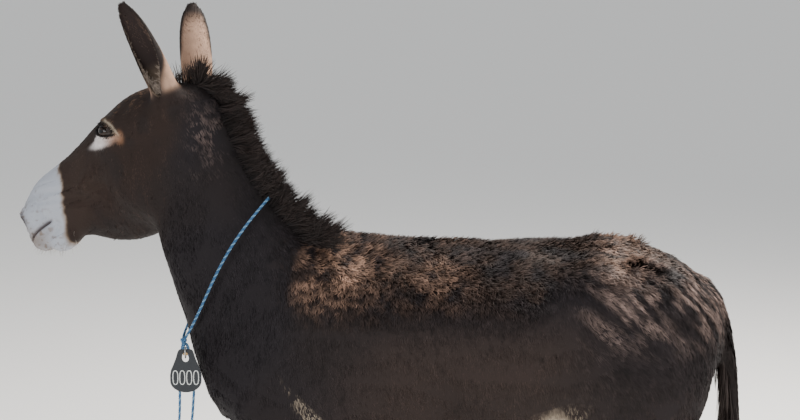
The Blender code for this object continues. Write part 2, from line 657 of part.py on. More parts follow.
def collar_route(steps):
    """The collar's line: it lies on the neck, and hangs off it to the knot."""
    crest, knot = np.asarray(COLLAR_CREST), np.asarray(KNOT_AT)
    middle = (crest + knot) / 2
    down = unit(knot - crest)
    aside = unit(np.cross(np.cross(down, (0.0, 1.0, 0.0)), down))
    flat = []
    for turn in range(72):
        angle = 2 * math.pi * turn / 72
        ray = math.cos(angle) * down + math.sin(angle) * aside
        reach = np.linspace(0.02, 0.40, 400)
        outside = field(steps, middle + reach[:, None] * ray) > ROPE_RADIUS + COAT_CLEAR
        flat.append(reach[outside.argmax()] * np.array([math.cos(angle), math.sin(angle)]))
    flat.append(np.array([np.linalg.norm(knot - middle), 0.0]))
    ring = convex_hull(flat)
    start = max(range(len(ring)), key=lambda i: ring[i][0])
    ring = ring[start:] + ring[:start + 1]
    line = np.array([middle + point[0] * down + point[1] * aside for point in ring])
    line = even_points(line, 0.024)
    share = np.linspace(0, 1, len(line))
    bow = unit(np.cross(aside, down))
    line += np.outer(COLLAR_BOW * np.sin(2 * math.pi * share) ** 2, bow)
    for _ in range(3):
        close = ROPE_RADIUS + COAT_CLEAR - field(steps, line)
        nudge = np.maximum(close, 0.0)[:, None] * unit(line - middle)
        nudge[[0, -1]] = 0.0
        line += nudge
    return line


def convex_hull(points):
    points = sorted((float(x), float(y)) for x, y in points)
    chains = []
    for ordered in (points, points[::-1]):
        chain = []
        for p in ordered:
            while len(chain) > 1:
                (ax, ay), (bx, by) = chain[-2], chain[-1]
                if (bx - ax) * (p[1] - ay) - (by - ay) * (p[0] - ax) > 0:
                    break
                chain.pop()
            chain.append(p)
        chains.append(chain[:-1])
    return chains[0] + chains[1]


def trimmed_ends(line, start_gap, end_gap):
    """An open line made shorter by some length at each end."""
    run = np.concatenate([[0], np.cumsum(np.linalg.norm(np.diff(line, axis=0), axis=1))])
    at = np.concatenate([[start_gap], run[(run > start_gap + 0.006) & (run < run[-1] - end_gap - 0.006)],
                         [run[-1] - end_gap]])
    return np.stack([np.interp(at, run, line[:, i]) for i in range(3)], 1)


def tag_plate(look):
    """A rounded plate with a slot in its narrow top, facing -Y."""
    half, top = TAG_WIDTH / 2, TAG_HEIGHT
    outline = []
    for turn in range(9):
        angle = math.pi * (1 + turn / 8)
        outline.append((half * math.cos(angle), 0.026 + 0.026 * math.sin(angle)))
    outline += [(half, 0.040), (half * 0.80, 0.062), (half * 0.52, top - 0.008), (half * 0.36, top),
                (-half * 0.36, top), (-half * 0.52, top - 0.008), (-half * 0.80, 0.062), (-half, 0.040)]
    slot = [(TAG_SLOT[0] / 2 * math.cos(a), top - 0.018 + TAG_SLOT[1] / 2 * math.sin(a))
            for a in (2 * math.pi * turn / 16 for turn in range(16))]
    work = bmesh.new()
    loops = []
    for ring in (outline, slot):
        verts = [work.verts.new((x, 0.0, z)) for x, z in ring]
        loops += [work.edges.new((verts[i], verts[(i + 1) % len(verts)])) for i in range(len(verts))]
    bmesh.ops.triangle_fill(work, use_beauty=True, edges=loops)
    deep = bmesh.ops.extrude_face_region(work, geom=list(work.faces))
    bmesh.ops.translate(work, vec=(0, TAG_THICK, 0),
                        verts=[v for v in deep["geom"] if isinstance(v, bmesh.types.BMVert)])
    bmesh.ops.recalc_face_normals(work, faces=work.faces)
    mesh = bpy.data.meshes.new("tag")
    work.to_mesh(mesh)
    work.free()
    made = bpy.data.objects.new("tag", mesh)
    bpy.context.collection.objects.link(made)
    mesh.materials.append(look)
    made.location = TAG_AT
    return made


def build_collar(steps, looks):
    line = collar_route(steps)
    rope = tube("collar_rope", trimmed_ends(line, KNOT_SIZE + GAP, KNOT_SIZE + GAP), ROPE_RADIUS, looks["rope"])
    ball_object("collar_knot", KNOT_AT, (KNOT_SIZE,) * 3, looks["rope"], 12, 8)
    for name, route in ROPE_ENDS.items():
        tube(name, even_points(route, 2.6 * 2 * ROPE_RADIUS), ROPE_RADIUS, looks["rope"])
    tag_plate(looks["tag"])
    ring = [(CLIP_AT[0], CLIP_AT[1] + CLIP_RADIUS * math.cos(a), CLIP_AT[2] + CLIP_LONG * math.sin(a))
            for a in (2 * math.pi * turn / 20 for turn in range(20))]
    tube("tag_clip", ring, CLIP_WIRE, looks["clip"], closed=True)
    return rope


def part_leg(rest, name, look, side, low, high, top):
    """Cuts a leg off by a prism that runs front to back. Its top edge rises outwards."""
    profile = [(0.006, -0.1), (0.006, top[0]), (0.05, top[0] + 0.02), (0.26, top[1]), (0.40, top[1]),
               (0.40, -0.1)]
    piece = rest.copy()
    piece.data = rest.data.copy()
    piece.name = name
    bpy.context.collection.objects.link(piece)
    for thing, operation, spare in ((piece, "INTERSECT", -GAP / 2), (rest, "DIFFERENCE", GAP / 2)):
        count = len(profile)
        corners = [(x, side * (y - (spare if y < 0.1 else 0)), z + (spare if z > 0 else 0))
                   for x in (low - spare, high + spare) for y, z in profile]
        faces = [tuple(range(count)), tuple(range(count, 2 * count))]
        faces += [(i, (i + 1) % count, (i + 1) % count + count, i + count) for i in range(count)]
        cutter = mesh_object("cutter", corners, faces, look, smooth=False)
        work = bmesh.new()
        work.from_mesh(cutter.data)
        bmesh.ops.recalc_face_normals(work, faces=work.faces)
        work.to_mesh(cutter.data)
        work.free()
        boolean(thing, cutter, operation)
        bpy.data.objects.remove(cutter, do_unlink=True)
        largest_piece(thing)
    return piece


def part_hooves(flesh, looks):
    """Cuts the feet off level with the tops of the hooves, and sets a hoof under each leg."""
    for name in LEGS:
        x, y = leg_rows(name)[-1][:2]
        scrap = part_off(flesh, "scrap", looks["coat"], (x, y, HOOF_TOP), WORLD_AXES,
                         (-0.09, -0.09, -0.2), (0.09, 0.09, GAP / 2))
        bpy.data.objects.remove(scrap, do_unlink=True)
        hoof("hoof_" + name, (x, y), looks["horn"])


def part_head_and_neck(flesh, look):
    """Parts the head off by a flat cut behind the jaw, and the neck by one at its root."""
    flat = unit((HEAD_CUT_NORMAL[0], 0, HEAD_CUT_NORMAL[1])) @ HEAD_AXES
    axes = np.stack([flat, HEAD_AXES[1], np.cross(flat, HEAD_AXES[1])])
    head = part_off(flesh, "head", look, on_head(HEAD_CUT_AT), axes, *HEAD_BOX)
    left = (0.0, -1.0, 0.0)
    axes = np.stack([unit(NECK_CUT_NORMAL), left, np.cross(unit(NECK_CUT_NORMAL), left)])
    return head, part_off(flesh, "neck", look, NECK_CUT_AT, axes, *NECK_BOX)


def build_mane(others, look):
    vertices, faces = surface_net([(mane_sweep(), 0.01, 1)], *MANE_BOX, HAIR_STEP)
    mane = thin(mesh_object("mane", vertices, faces, look), MANE_FACES)
    for other in others:
        clear_of(mane, other)
    largest_piece(mane)


def build_tail(flesh, looks):
    """The tail, with its long-haired end as a solid of its own."""
    vertices, faces = surface_net([(Sweep(TAIL, (0, -1, 0), 48), 0.01, 1)], *TAIL_BOX, HAIR_STEP)
    tail = thin(mesh_object("tail", vertices, faces, looks["coat"]), TAIL_FACES)
    largest_piece(clear_of(tail, flesh))
    part_off(tail, "tail_switch", looks["mane"], (TAIL[-1][0], 0, TAIL_SWITCH_TOP), WORLD_AXES,
             (-0.2, -0.2, -0.5), (0.2, 0.2, 0.0))


def build_eyes_and_ears(head, neck, looks):
    for side, name in ((1, "left"), (-1, "right")):
        eye_at = on_head((EYE_AT[0], side * EYE_AT[1], EYE_AT[2]))
        eye = ball_object("eye_" + name, eye_at, (EYE_RADIUS * HEAD_SCALE,) * 3, looks["eye"])
        clear_of(head, eye)
        ear = ear_object("ear_" + name, side, looks["coat"])
        for other in (head, neck):
            clear_of(ear, other)
        largest_piece(ear)


def build():
    clear_scene()
    looks = {name: material(name, *look) for name, look in LOOKS.items()}
    steps = flesh_steps()
    vertices, faces = surface_net(steps, *FLESH_BOX, MESH_STEP)
    flesh = thin(mesh_object("trunk", vertices, faces, looks["coat"]), FLESH_FACES)
    rope = build_collar(steps, looks)
    part_hooves(flesh, looks)
    for name, (_, side) in LEGS.items():
        low, high, top = LEG_CUTS[name.split("_")[0]]
        part_leg(flesh, "leg_" + name, looks["coat"], side, low, high, top)
    head, neck = part_head_and_neck(flesh, looks["coat"])
    build_mane((head, neck, flesh, rope), looks["mane"])
    build_tail(flesh, looks)
    build_eyes_and_ears(head, neck, looks)
    whole = bpy.data.objects.new("donkey", None)
    bpy.context.collection.objects.link(whole)
    whole.location = ORIGIN
    for thing in bpy.data.objects:
        if thing is not whole:
            thing.parent = whole


build()
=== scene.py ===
import math

import bmesh
import bpy
import numpy as np
from mathutils import Matrix
from mathutils.kdtree import KDTree


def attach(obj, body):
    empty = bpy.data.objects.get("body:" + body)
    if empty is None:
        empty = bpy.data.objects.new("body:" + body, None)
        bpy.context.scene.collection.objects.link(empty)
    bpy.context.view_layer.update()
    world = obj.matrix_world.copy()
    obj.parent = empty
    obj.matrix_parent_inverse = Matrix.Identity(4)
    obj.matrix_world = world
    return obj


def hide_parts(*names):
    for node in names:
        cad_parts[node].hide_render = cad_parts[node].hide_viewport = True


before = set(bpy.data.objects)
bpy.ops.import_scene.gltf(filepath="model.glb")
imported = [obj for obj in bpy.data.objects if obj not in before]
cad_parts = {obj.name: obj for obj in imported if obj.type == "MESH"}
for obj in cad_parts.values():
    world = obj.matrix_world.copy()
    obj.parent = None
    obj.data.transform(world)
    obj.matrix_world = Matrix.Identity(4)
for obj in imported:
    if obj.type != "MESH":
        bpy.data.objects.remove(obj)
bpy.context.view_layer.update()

# ---------------------------------------------------------------- sizes shared with the solids
# The body's own frame: the animal faces -X and its left side faces -Y. ORIGIN moves it into the row frame.
ORIGIN = np.array((0.231, -0.071, 0.0))
# Trunk, front to back: x, y, z, half width, half depth above and below the centreline.
TRUNK = [
    (-0.53, 0, 0.890, 0.085, 0.100, 0.120), (-0.47, 0, 0.890, 0.135, 0.165, 0.185),
    (-0.38, 0, 0.885, 0.172, 0.220, 0.250), (-0.25, 0, 0.875, 0.205, 0.248, 0.262),
    (-0.08, 0, 0.870, 0.235, 0.254, 0.272), (0.07, 0, 0.870, 0.245, 0.266, 0.268),
    (0.24, 0, 0.885, 0.226, 0.252, 0.225), (0.34, 0, 0.905, 0.200, 0.245, 0.190),
    (0.42, 0, 0.900, 0.150, 0.200, 0.160), (0.455, 0, 0.890, 0.120, 0.165, 0.140),
]
WITHERS = [
    (-0.46, 0, 1.055, 0.060, 0.080, 0.10), (-0.36, 0, 1.075, 0.060, 0.080, 0.10),
    (-0.22, 0, 1.068, 0.060, 0.062, 0.10), (-0.05, 0, 1.055, 0.050, 0.055, 0.10),
]
NECK = [
    (-0.420, 0.000, 0.900, 0.130, 0.200, 0.190), (-0.508, 0.000, 0.991, 0.105, 0.185, 0.165),
    (-0.556, 0.015, 1.086, 0.090, 0.152, 0.160), (-0.602, 0.045, 1.165, 0.077, 0.134, 0.142),
    (-0.634, 0.075, 1.230, 0.070, 0.125, 0.124), (-0.668, 0.103, 1.319, 0.066, 0.118, 0.105),
    (-0.682, 0.125, 1.403, 0.062, 0.096, 0.085),
]
# The dock of the tail, inside the hair.
DOCK = [
    (0.425, 0, 1.016, 0.036, 0.034, 0.036), (0.506, 0, 1.006, 0.029, 0.030, 0.032),
    (0.552, 0, 0.955, 0.021, 0.021, 0.021), (0.577, 0, 0.875, 0.017, 0.017, 0.017),
    (0.596, 0, 0.740, 0.014, 0.014, 0.014), (0.604, 0, 0.620, 0.011, 0.011, 0.011),
    (0.607, 0, 0.520, 0.007, 0.007, 0.007),
]
# Limbs, top to bottom: x, y (outwards), z, half width, half depth in front and behind.
FORELEG = [
    (-0.31, 0.085, 1.020, 0.055, 0.090, 0.090), (-0.40, 0.120, 0.900, 0.060, 0.100, 0.110),
    (-0.42, 0.130, 0.800, 0.062, 0.095, 0.100), (-0.37, 0.128, 0.700, 0.055, 0.078, 0.072),
    (-0.345, 0.122, 0.600, 0.045, 0.053, 0.053), (-0.345, 0.116, 0.500, 0.035, 0.039, 0.040),
    (-0.350, 0.112, 0.440, 0.031, 0.032, 0.034), (-0.352, 0.110, 0.400, 0.033, 0.036, 0.034),
    (-0.352, 0.110, 0.355, 0.026, 0.026, 0.031), (-0.350, 0.108, 0.270, 0.021, 0.021, 0.027),
    (-0.350, 0.108, 0.200, 0.022, 0.023, 0.028), (-0.354, 0.108, 0.165, 0.027, 0.027, 0.033),
    (-0.370, 0.108, 0.120, 0.023, 0.025, 0.027), (-0.390, 0.108, 0.078, 0.027, 0.030, 0.027),
    (-0.398, 0.108, 0.055, 0.027, 0.030, 0.027),
]
HINDLEG = [
    (0.35, 0.100, 0.990, 0.085, 0.120, 0.130), (0.38, 0.125, 0.900, 0.092, 0.155, 0.150),
    (0.39, 0.132, 0.800, 0.086, 0.150, 0.132), (0.40, 0.132, 0.700, 0.066, 0.115, 0.092),
    (0.435, 0.126, 0.615, 0.050, 0.066, 0.080), (0.495, 0.121, 0.530, 0.036, 0.042, 0.046),
    (0.540, 0.119, 0.465, 0.028, 0.028, 0.044), (0.557, 0.118, 0.420, 0.033, 0.036, 0.044),
    (0.553, 0.117, 0.360, 0.027, 0.027, 0.034), (0.550, 0.116, 0.280, 0.022, 0.023, 0.029),
    (0.548, 0.116, 0.205, 0.023, 0.024, 0.030), (0.545, 0.116, 0.168, 0.028, 0.028, 0.034),
    (0.528, 0.116, 0.120, 0.024, 0.025, 0.027), (0.509, 0.116, 0.078, 0.027, 0.029, 0.026),
    (0.501, 0.116, 0.055, 0.027, 0.029, 0.026),
]
STEP_AHEAD = {"front_left": -0.030, "front_right": 0.028, "hind_left": 0.025, "hind_right": -0.030}
LEGS = {
    "front_left": (FORELEG, -1), "front_right": (FORELEG, 1),
    "hind_left": (HINDLEG, -1), "hind_right": (HINDLEG, 1),
}
# Head: u runs from the poll to the nose, l to the animal's left, n up from the bridge of the nose.
HEAD_AT = np.array((-0.686, 0.125, 1.497))
HEAD_YAW, HEAD_PITCH, HEAD_SCALE = 30.0, 35.0, 1.13
SKULL = [
    (0.000, 0, -0.078, 0.050, 0.042, 0.055), (0.050, 0, -0.066, 0.066, 0.062, 0.060),
    (0.110, 0, -0.058, 0.078, 0.083, 0.065), (0.180, 0, -0.055, 0.078, 0.085, 0.065),
    (0.240, 0, -0.053, 0.066, 0.081, 0.055), (0.310, 0, -0.048, 0.052, 0.069, 0.045),
    (0.380, 0, -0.045, 0.046, 0.064, 0.042), (0.440, 0, -0.047, 0.045, 0.066, 0.042),
    (0.480, 0, -0.055, 0.040, 0.060, 0.035),
]
JAW = [
    (0.060, 0, -0.130, 0.048, 0.060, 0.075), (0.120, 0, -0.145, 0.060, 0.070, 0.092),
    (0.180, 0, -0.150, 0.064, 0.075, 0.100), (0.240, 0, -0.142, 0.056, 0.070, 0.098),
    (0.300, 0, -0.122, 0.044, 0.060, 0.088), (0.360, 0, -0.100, 0.035, 0.050, 0.068),
    (0.410, 0, -0.092, 0.030, 0.045, 0.050),
]
EYE_AT, EYE_RADIUS = np.array((0.170, 0.069, -0.027)), 0.0225
LIDS = (0.0325, 0.0185, 0.0085, 0.38)   # half length, heights above and below, and lean of the slit
EAR_BASE, EAR_LENGTH = (0.015, 0.050, -0.050), 0.241
# Each ear's direction, the way it opens and how far its tip bends that way: 1 left, -1 right.
EAR_DIRECTION = {1: (-0.285, 0.26, 0.92), -1: (-0.345, -0.26, 0.92)}
EAR_OPENING = {1: (0.10, 0.99, 0.0), -1: (0.62, -0.66, 0.10)}
EAR_CURVE = {1: 0.015, -1: 0.033}
# Ear, base to tip: share of the length, half width, half depth, and how far round the wall wraps.
EAR = [(0, 0.035, 0.031, 165), (0.15, 0.036, 0.031, 150), (0.35, 0.039, 0.028, 118),
       (0.55, 0.039, 0.024, 102), (0.75, 0.035, 0.019, 94), (0.90, 0.026, 0.014, 90),
       (1.0, 0.0125, 0.0095, 88)]
EAR_WALL = 0.0075
HOOF_TOP = 0.064
ROPE_RADIUS, ROPE_PITCH, COAT_CLEAR = 0.0034, 0.016, 0.003
COLLAR_CREST, KNOT_AT, KNOT_SIZE, COLLAR_BOW = (-0.478, 0.0, 1.192), (-0.658, -0.060, 0.905), 0.0085, 0.02
TAG_WIDTH, TAG_HEIGHT, TAG_THICK, TAG_SLOT = 0.070, 0.098, 0.003, (0.016, 0.022)
TAG_AT = (-0.648, -0.112, 0.798)
CLIP_AT, CLIP_RADIUS, CLIP_LONG, CLIP_WIRE = (-0.648, -0.110, 0.888), 0.010, 0.012, 0.0012
ROPE_ENDS = {
    "rope_end_1": [(-0.659, -0.0690, 0.899), (-0.662, -0.085, 0.870), (-0.663, -0.098, 0.820),
                   (-0.664, -0.100, 0.760), (-0.668, -0.100, 0.690)],
    "rope_end_2": [(-0.650, -0.0650, 0.899), (-0.640, -0.085, 0.865), (-0.632, -0.098, 0.820),
                   (-0.634, -0.104, 0.760), (-0.640, -0.106, 0.700)],
}

# ---------------------------------------------------------------- sizes of the finish
FINE, COARSE = ((0.0024, 0.006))   # cell sizes of the skin: head, body
SKIN_FACES = 192000
PIECE_TRIANGLES = 196000   # at most, in one piece of the coat
DENSITY = 1.0
LONG_DENSITY = max(DENSITY, 0.5)
SEEDS = {"coat": 7, "mane": 11, "ears": 17, "tail": 19, "lashes": 23, "whiskers": 29}


# ---------------------------------------------------------------- small mathematics
def unit(v):
    v = np.asarray(v, float)
    return v / np.maximum(np.linalg.norm(v, axis=-1, keepdims=True), 1e-9)


def smooth_min(a, b, k):
    """The smaller of two distances, rounded where they come within k."""
    h = np.maximum(k - np.abs(a - b), 0.0) / k
    return np.minimum(a, b) - h * h * k * 0.25


def ramp(x, low, high):
    """0 below low, 1 above high, smooth between. low may be the larger one."""
    t = np.clip((x - low) / (high - low), 0.0, 1.0)
    return t * t * (3 - 2 * t)


def bump(x, centre, width):
    """1 at the centre, falling to 0 on both sides."""
    return np.exp(-((x - centre) / width) ** 2)


def oval(a, b, power=1):
    """1 inside an oval where a and b reach 1, 0 well outside. A higher power sharpens its edge."""
    return np.exp(-(a**2 + b**2) ** power)


def dots(a, b):
    return (a * b).sum(-1)


def circle(count):
    """Evenly spaced angles round a full turn."""
    return [2 * math.pi * turn / count for turn in range(count)]


def read(table, at):
    """Every later column of a table, read between its rows at places of the first column."""
    return [np.interp(at, table[:, 0], column) for column in table.T[1:]]


def noise(p, size, seed=0):
    """Smooth value noise from 0 to 1, with features of about the given size in metres."""
    p = p / size + seed * 17.31
    cell = np.floor(p).astype(np.int64)
    t = p - cell
    t = t * t * (3 - 2 * t)
    total = np.zeros(len(p))
    for i in (0, 1):
        for j in (0, 1):
            for k in (0, 1):
                key = (cell[:, 0] + i) * 73856093
                key = key ^ (cell[:, 1] + j) * 19349663 ^ (cell[:, 2] + k) * 83492791
                key = (key ^ (key >> 13)) * 1274126177 & 0xFFFFFFFF
                value = ((key ^ (key >> 16)) & 0xFFFF) / 65535.0
                weight = ((t[:, 0] if i else 1 - t[:, 0]) * (t[:, 1] if j else 1 - t[:, 1])
                          * (t[:, 2] if k else 1 - t[:, 2]))
                total += value * weight
    return total


def resample(rows, count):
    """A smooth curve through the rows, read at count even steps of its chord."""
    rows = np.asarray(rows, float)
    run = np.diff(rows[:, :3], axis=0) if rows.shape[1] > 4 else np.diff(rows[:, :1], axis=0)
    chord = np.concatenate([[0], np.cumsum(np.linalg.norm(run, axis=1))])
    slope = np.gradient(rows, chord, axis=0)
    at = np.linspace(0, chord[-1], count)
    i = np.clip(np.searchsorted(chord, at, side="right") - 1, 0, len(rows) - 2)
    h = (chord[i + 1] - chord[i])[:, None]
    t = (at - chord[i])[:, None] / h
    a, b, slope_a, slope_b = rows[i], rows[i + 1], slope[i] * h, slope[i + 1] * h
    return (a * (2 * t**3 - 3 * t**2 + 1) + slope_a * (t**3 - 2 * t**2 + t)
            + b * (3 * t**2 - 2 * t**3) + slope_b * (t**3 - t**2))


# ---------------------------------------------------------------- shapes of the flesh's field
def section(y, z, x, a, b, c):
    """First-order distance to an ellipsoid with half sizes a, b and c."""
    k = np.sqrt((y / a) ** 2 + (z / b) ** 2 + (x / c) ** 2) + 1e-6
    slope = np.sqrt((y / a**2) ** 2 + (z / b**2) ** 2 + (x / c**2) ** 2) / k
    return (k - 1) / np.maximum(slope, 0.3 / np.maximum(a, b))


class Shape:
    """A rounded mass that knows the box it lies in."""

    def near(self, p, margin):
        return np.all((p > self.low - margin) & (p < self.high + margin), axis=1)


class Sweep(Shape):
    """A mass swept along a curve. Each station is a point, a half width towards the given side,
    and the half depths above and below it."""

    def __init__(self, stations, side, count=36):
        rows = resample(stations, count)
        self.centre = rows[:, :3]
        self.size = np.maximum(rows[:, 3:6], 0.004)
        self.along = unit(np.gradient(self.centre, axis=0))
        side = np.asarray(side, float)
        self.across = unit(side - self.along * (self.along @ side)[:, None])
        self.over = np.cross(self.along, self.across)
        self.step = np.linalg.norm(np.diff(self.centre, axis=0), axis=1).mean()
        self.low = self.centre.min(0) - self.size.max()
        self.high = self.centre.max(0) + self.size.max()

    def place(self, p):
        """For each point, its place along the curve in steps, past the ends too."""
        gap = (p**2).sum(1)[:, None] - 2 * p @ self.centre.T + (self.centre**2).sum(1)[None]
        nearest = gap.argmin(1)
        shift = dots(p - self.centre[nearest], self.along[nearest]) / self.step
        return nearest + np.clip(shift, -1, 1)

    def local(self, p):
        """Place along the curve from 0 to 1, and the offsets across, over and along there."""
        last = len(self.centre) - 1
        raw = self.place(p)
        place = np.clip(raw, 0, last)
        i = np.minimum(place.astype(int), last - 1)
        t = (place - i)[:, None]

        centre, along, across, over, size = (
            table[i] * (1 - t) + table[i + 1] * t
            for table in (self.centre, self.along, self.across, self.over, self.size))
        v = p - centre
        past = np.where((raw < 0) | (raw > last), dots(v, along), 0.0)
        return place / last, dots(v, across), dots(v, over), past, size

    def distance(self, p):
        _, y, z, x, size = self.local(p)
        half_depth = np.where(z > 0, size[:, 1], size[:, 2])
        return section(y, z, x, size[:, 0], half_depth, np.minimum(size[:, 0], half_depth))


class Ball(Shape):
    """An ellipsoid. The rows of axes are its own directions."""

    def __init__(self, centre, radii, axes=None):
        self.centre = np.asarray(centre, float)
        self.radii = np.asarray(radii, float)
        self.axes = np.eye(3) if axes is None else np.asarray(axes, float)
        self.low = self.centre - self.radii.max()
        self.high = self.centre + self.radii.max()

    def distance(self, p):
        v = (p - self.centre) @ self.axes.T
        return section(v[:, 0], v[:, 1], v[:, 2], *self.radii)


def head_axes():
    """Rows: towards the nose, to the animal's left, and up from the bridge of the nose."""
    yaw, pitch = math.radians(HEAD_YAW), math.radians(HEAD_PITCH)
    level = np.array([-math.cos(yaw), math.sin(yaw), 0.0])
    up = np.array([0.0, 0.0, 1.0])
    left = np.cross(up, level)
    nose = level * math.cos(pitch) - up * math.sin(pitch)
    top = level * math.sin(pitch) + up * math.cos(pitch)
    return np.stack([nose, left, top])


HEAD_AXES = head_axes()
NECK_SIDE = HEAD_AXES[1] * 0.5 + np.array((0.0, -0.5, 0.0))


def on_head(point):
    return HEAD_AT + HEAD_SCALE * np.asarray(point, float) @ HEAD_AXES


def head_place(p):
    """u, l and n of points of the body frame."""
    return (p - HEAD_AT) @ HEAD_AXES.T / HEAD_SCALE


class Ear(Shape):
    """A thin leaf-shaped shell, its wall bent round its own axis and open on one side."""

    def __init__(self, side, wall):
        self.axis = unit(np.array(EAR_DIRECTION[side]) @ HEAD_AXES)
        opening = np.array(EAR_OPENING[side]) @ HEAD_AXES
        self.opening = unit(opening - self.axis * (self.axis @ opening))
        self.curve = EAR_CURVE[side]
        self.across = np.cross(self.opening, self.axis)
        self.base = on_head((EAR_BASE[0], side * EAR_BASE[1], EAR_BASE[2]))
        self.rows = resample(EAR, 60)
        self.wall = wall
        tip = self.base + self.axis * EAR_LENGTH + self.opening * self.curve
        self.low = np.minimum(self.base, tip) - 0.045
        self.high = np.maximum(self.base, tip) + 0.045

    def local(self, p):
        """Share of the length, offsets across, to the back and past the ends, and the sizes there."""
        v = p - self.base
        share = np.clip(v @ self.axis / EAR_LENGTH, 0, 1)
        v = v - share[:, None] * self.axis * EAR_LENGTH - (share**2)[:, None] * self.opening * self.curve
        width, depth, wrap = read(self.rows, share)
        return share, v @ self.across, -(v @ self.opening), v @ self.axis, width, depth, np.radians(wrap)

    def distance(self, p):
        share, x, y, past, width, depth, wrap = self.local(p)
        width, depth = width - EAR_WALL / 2, depth - EAR_WALL / 2
        angle = np.clip(np.arctan2(x / width, y / depth), -wrap, wrap)
        gap = np.hypot(x - width * np.sin(angle), y - depth * np.cos(angle))
        return np.hypot(gap, past) - self.wall / 2 * (1 - 0.3 * share)


def outside_ear(across, back, width, depth):
    """True outside the middle of an ear's wall."""
    return np.hypot(across / (width - EAR_WALL / 2), back / (depth - EAR_WALL / 2)) > 1


class Almond(Shape):
    """The opening between the lids: two crossing arcs, cut straight in from outside."""

    def __init__(self, centre, along, up, out, half_long, high_up, high_down, lean, deep):
        self.centre, self.axes, self.lean = centre, np.stack([along, up, out]), lean
        self.half, self.up, self.down, self.deep = half_long, high_up, high_down, deep
        self.low, self.high = centre - half_long * 1.6, centre + half_long * 1.6

    def distance(self, p):
        a, b, c = ((p - self.centre) @ self.axes.T).T
        a = a - self.lean * b
        arcs = []
        for height, sign in ((self.up, 1), (self.down, -1)):
            radius = (self.half**2 + height**2) / (2 * height)
            arcs.append(np.hypot(a, b - sign * (height - radius)) - radius)
        return np.maximum(np.maximum(*arcs), self.deep - c)


FAR, MARGIN, NEAR = 0.5, 0.14, 0.035


def field(steps, p, total=None, margin=MARGIN):
    """Distance to the flesh: each step is a shape, its blend width, and 1 to add or -1 to carve."""
    total = np.full(len(p), FAR) if total is None else total
    for shape, blend, sign in steps:
        near = shape.near(p, blend + margin)
        if near.any():
            distance = shape.distance(p[near])
            if sign > 0:
                total[near] = smooth_min(total[near], distance, blend)
            else:
                total[near] = -smooth_min(-total[near], distance, blend)
    return total


# ---------------------------------------------------------------- anatomy
def turned(degrees):
    """Axes turned about the second one."""
    angle = math.radians(degrees)
    return np.array([[math.cos(angle), 0, -math.sin(angle)], [0, 1, 0],
                     [math.sin(angle), 0, math.cos(angle)]])


def head_ball(point, radii, turn):
    """An ellipsoid on the head, turned nose-down by some degrees about the left axis."""
    return Ball(on_head(point), np.asarray(radii) * HEAD_SCALE, turned(turn) @ HEAD_AXES)


def head_sweep(stations, count=30):
    rows = [(*on_head(row[:3]), *(HEAD_SCALE * size for size in row[3:])) for row in stations]
    return Sweep(rows, HEAD_AXES[1], count)


# Masses of the head: u, l, n, the half sizes, the turn nose-down in degrees and the blend.
HEAD_SIDES = [
    (0.160, 0.046, -0.140, (0.088, 0.036, 0.088), 20, 0.035),   # cheek
    (0.178, 0.066, -0.034, (0.042, 0.024, 0.026), 8, 0.030),    # brow and socket
    (0.105, 0.064, -0.058, (0.060, 0.018, 0.020), -8, 0.030),   # arch behind the eye
    (0.245, 0.050, -0.068, (0.070, 0.011, 0.014), 4, 0.035),    # facial crest
    (0.475, 0.031, -0.050, (0.032, 0.022, 0.028), 20, 0.025),   # wing of the nostril
]
HEAD_MIDDLE = [
    (0.135, 0, -0.030, (0.090, 0.072, 0.038), 2, 0.040),        # forehead
    (0.482, 0, -0.075, (0.044, 0.046, 0.038), 40, 0.030),       # upper lip
    (0.505, 0, -0.096, (0.026, 0.038, 0.022), 60, 0.020),       # its front
    (0.452, 0, -0.122, (0.042, 0.034, 0.026), 5, 0.025),        # chin
]


def head_steps():
    steps = [(head_sweep(SKULL), 0.05, 1), (head_sweep(JAW), 0.05, 1)]
    for side, rows in ((1, HEAD_SIDES), (-1, HEAD_SIDES), (0, HEAD_MIDDLE)):
        for u, l, n, radii, turn, blend in rows:
            steps.append((head_ball((u, side * l, n), radii, turn), blend, 1))
    return steps


def limb(stations, side, ahead):
    """A leg's stations on one side, its foot moved ahead or back from below the elbow or hip."""
    top = stations[0][2]
    return [(x + ahead * ((top - z) / top) ** 1.5, side * y, z, *sizes) for x, y, z, *sizes in stations]


def leg_rows(name):
    stations, side = LEGS[name]
    return limb(stations, side, STEP_AHEAD[name])


LEG_SWEEPS = {name: Sweep(leg_rows(name), (0.0, -1.0, 0.0), 64) for name in LEGS}
NECK_SWEEP = Sweep(NECK, NECK_SIDE, 40)
DOCK_SWEEP = Sweep(DOCK, (0, -1, 0), 40)
# The ridge of the neck that carries the mane.
CREST = [(*(NECK_SWEEP.centre[i] + NECK_SWEEP.over[i] * (NECK_SWEEP.size[i, 1] - 0.010)),
          0.024, 0.024, 0.030) for i in range(8, 40, 4)]
CREST_SWEEP = Sweep(CREST, NECK_SIDE, 30)
EARS = {1: Ear(1, 0.0042), -1: Ear(-1, 0.0042)}


# Masses on both sides of the body: x, y outwards, z, the half sizes and the blend.
BODY_SIDES = [
    (-0.530, 0.060, 0.830, (0.082, 0.072, 0.115), 0.06),        # breast
    (-0.500, 0.115, 0.800, (0.062, 0.055, 0.075), 0.05),        # point of the shoulder
    (0.270, 0.130, 1.035, (0.070, 0.060, 0.060), 0.07),         # point of the hip
    (0.425, 0.070, 0.940, (0.105, 0.075, 0.120), 0.07),         # buttock
]


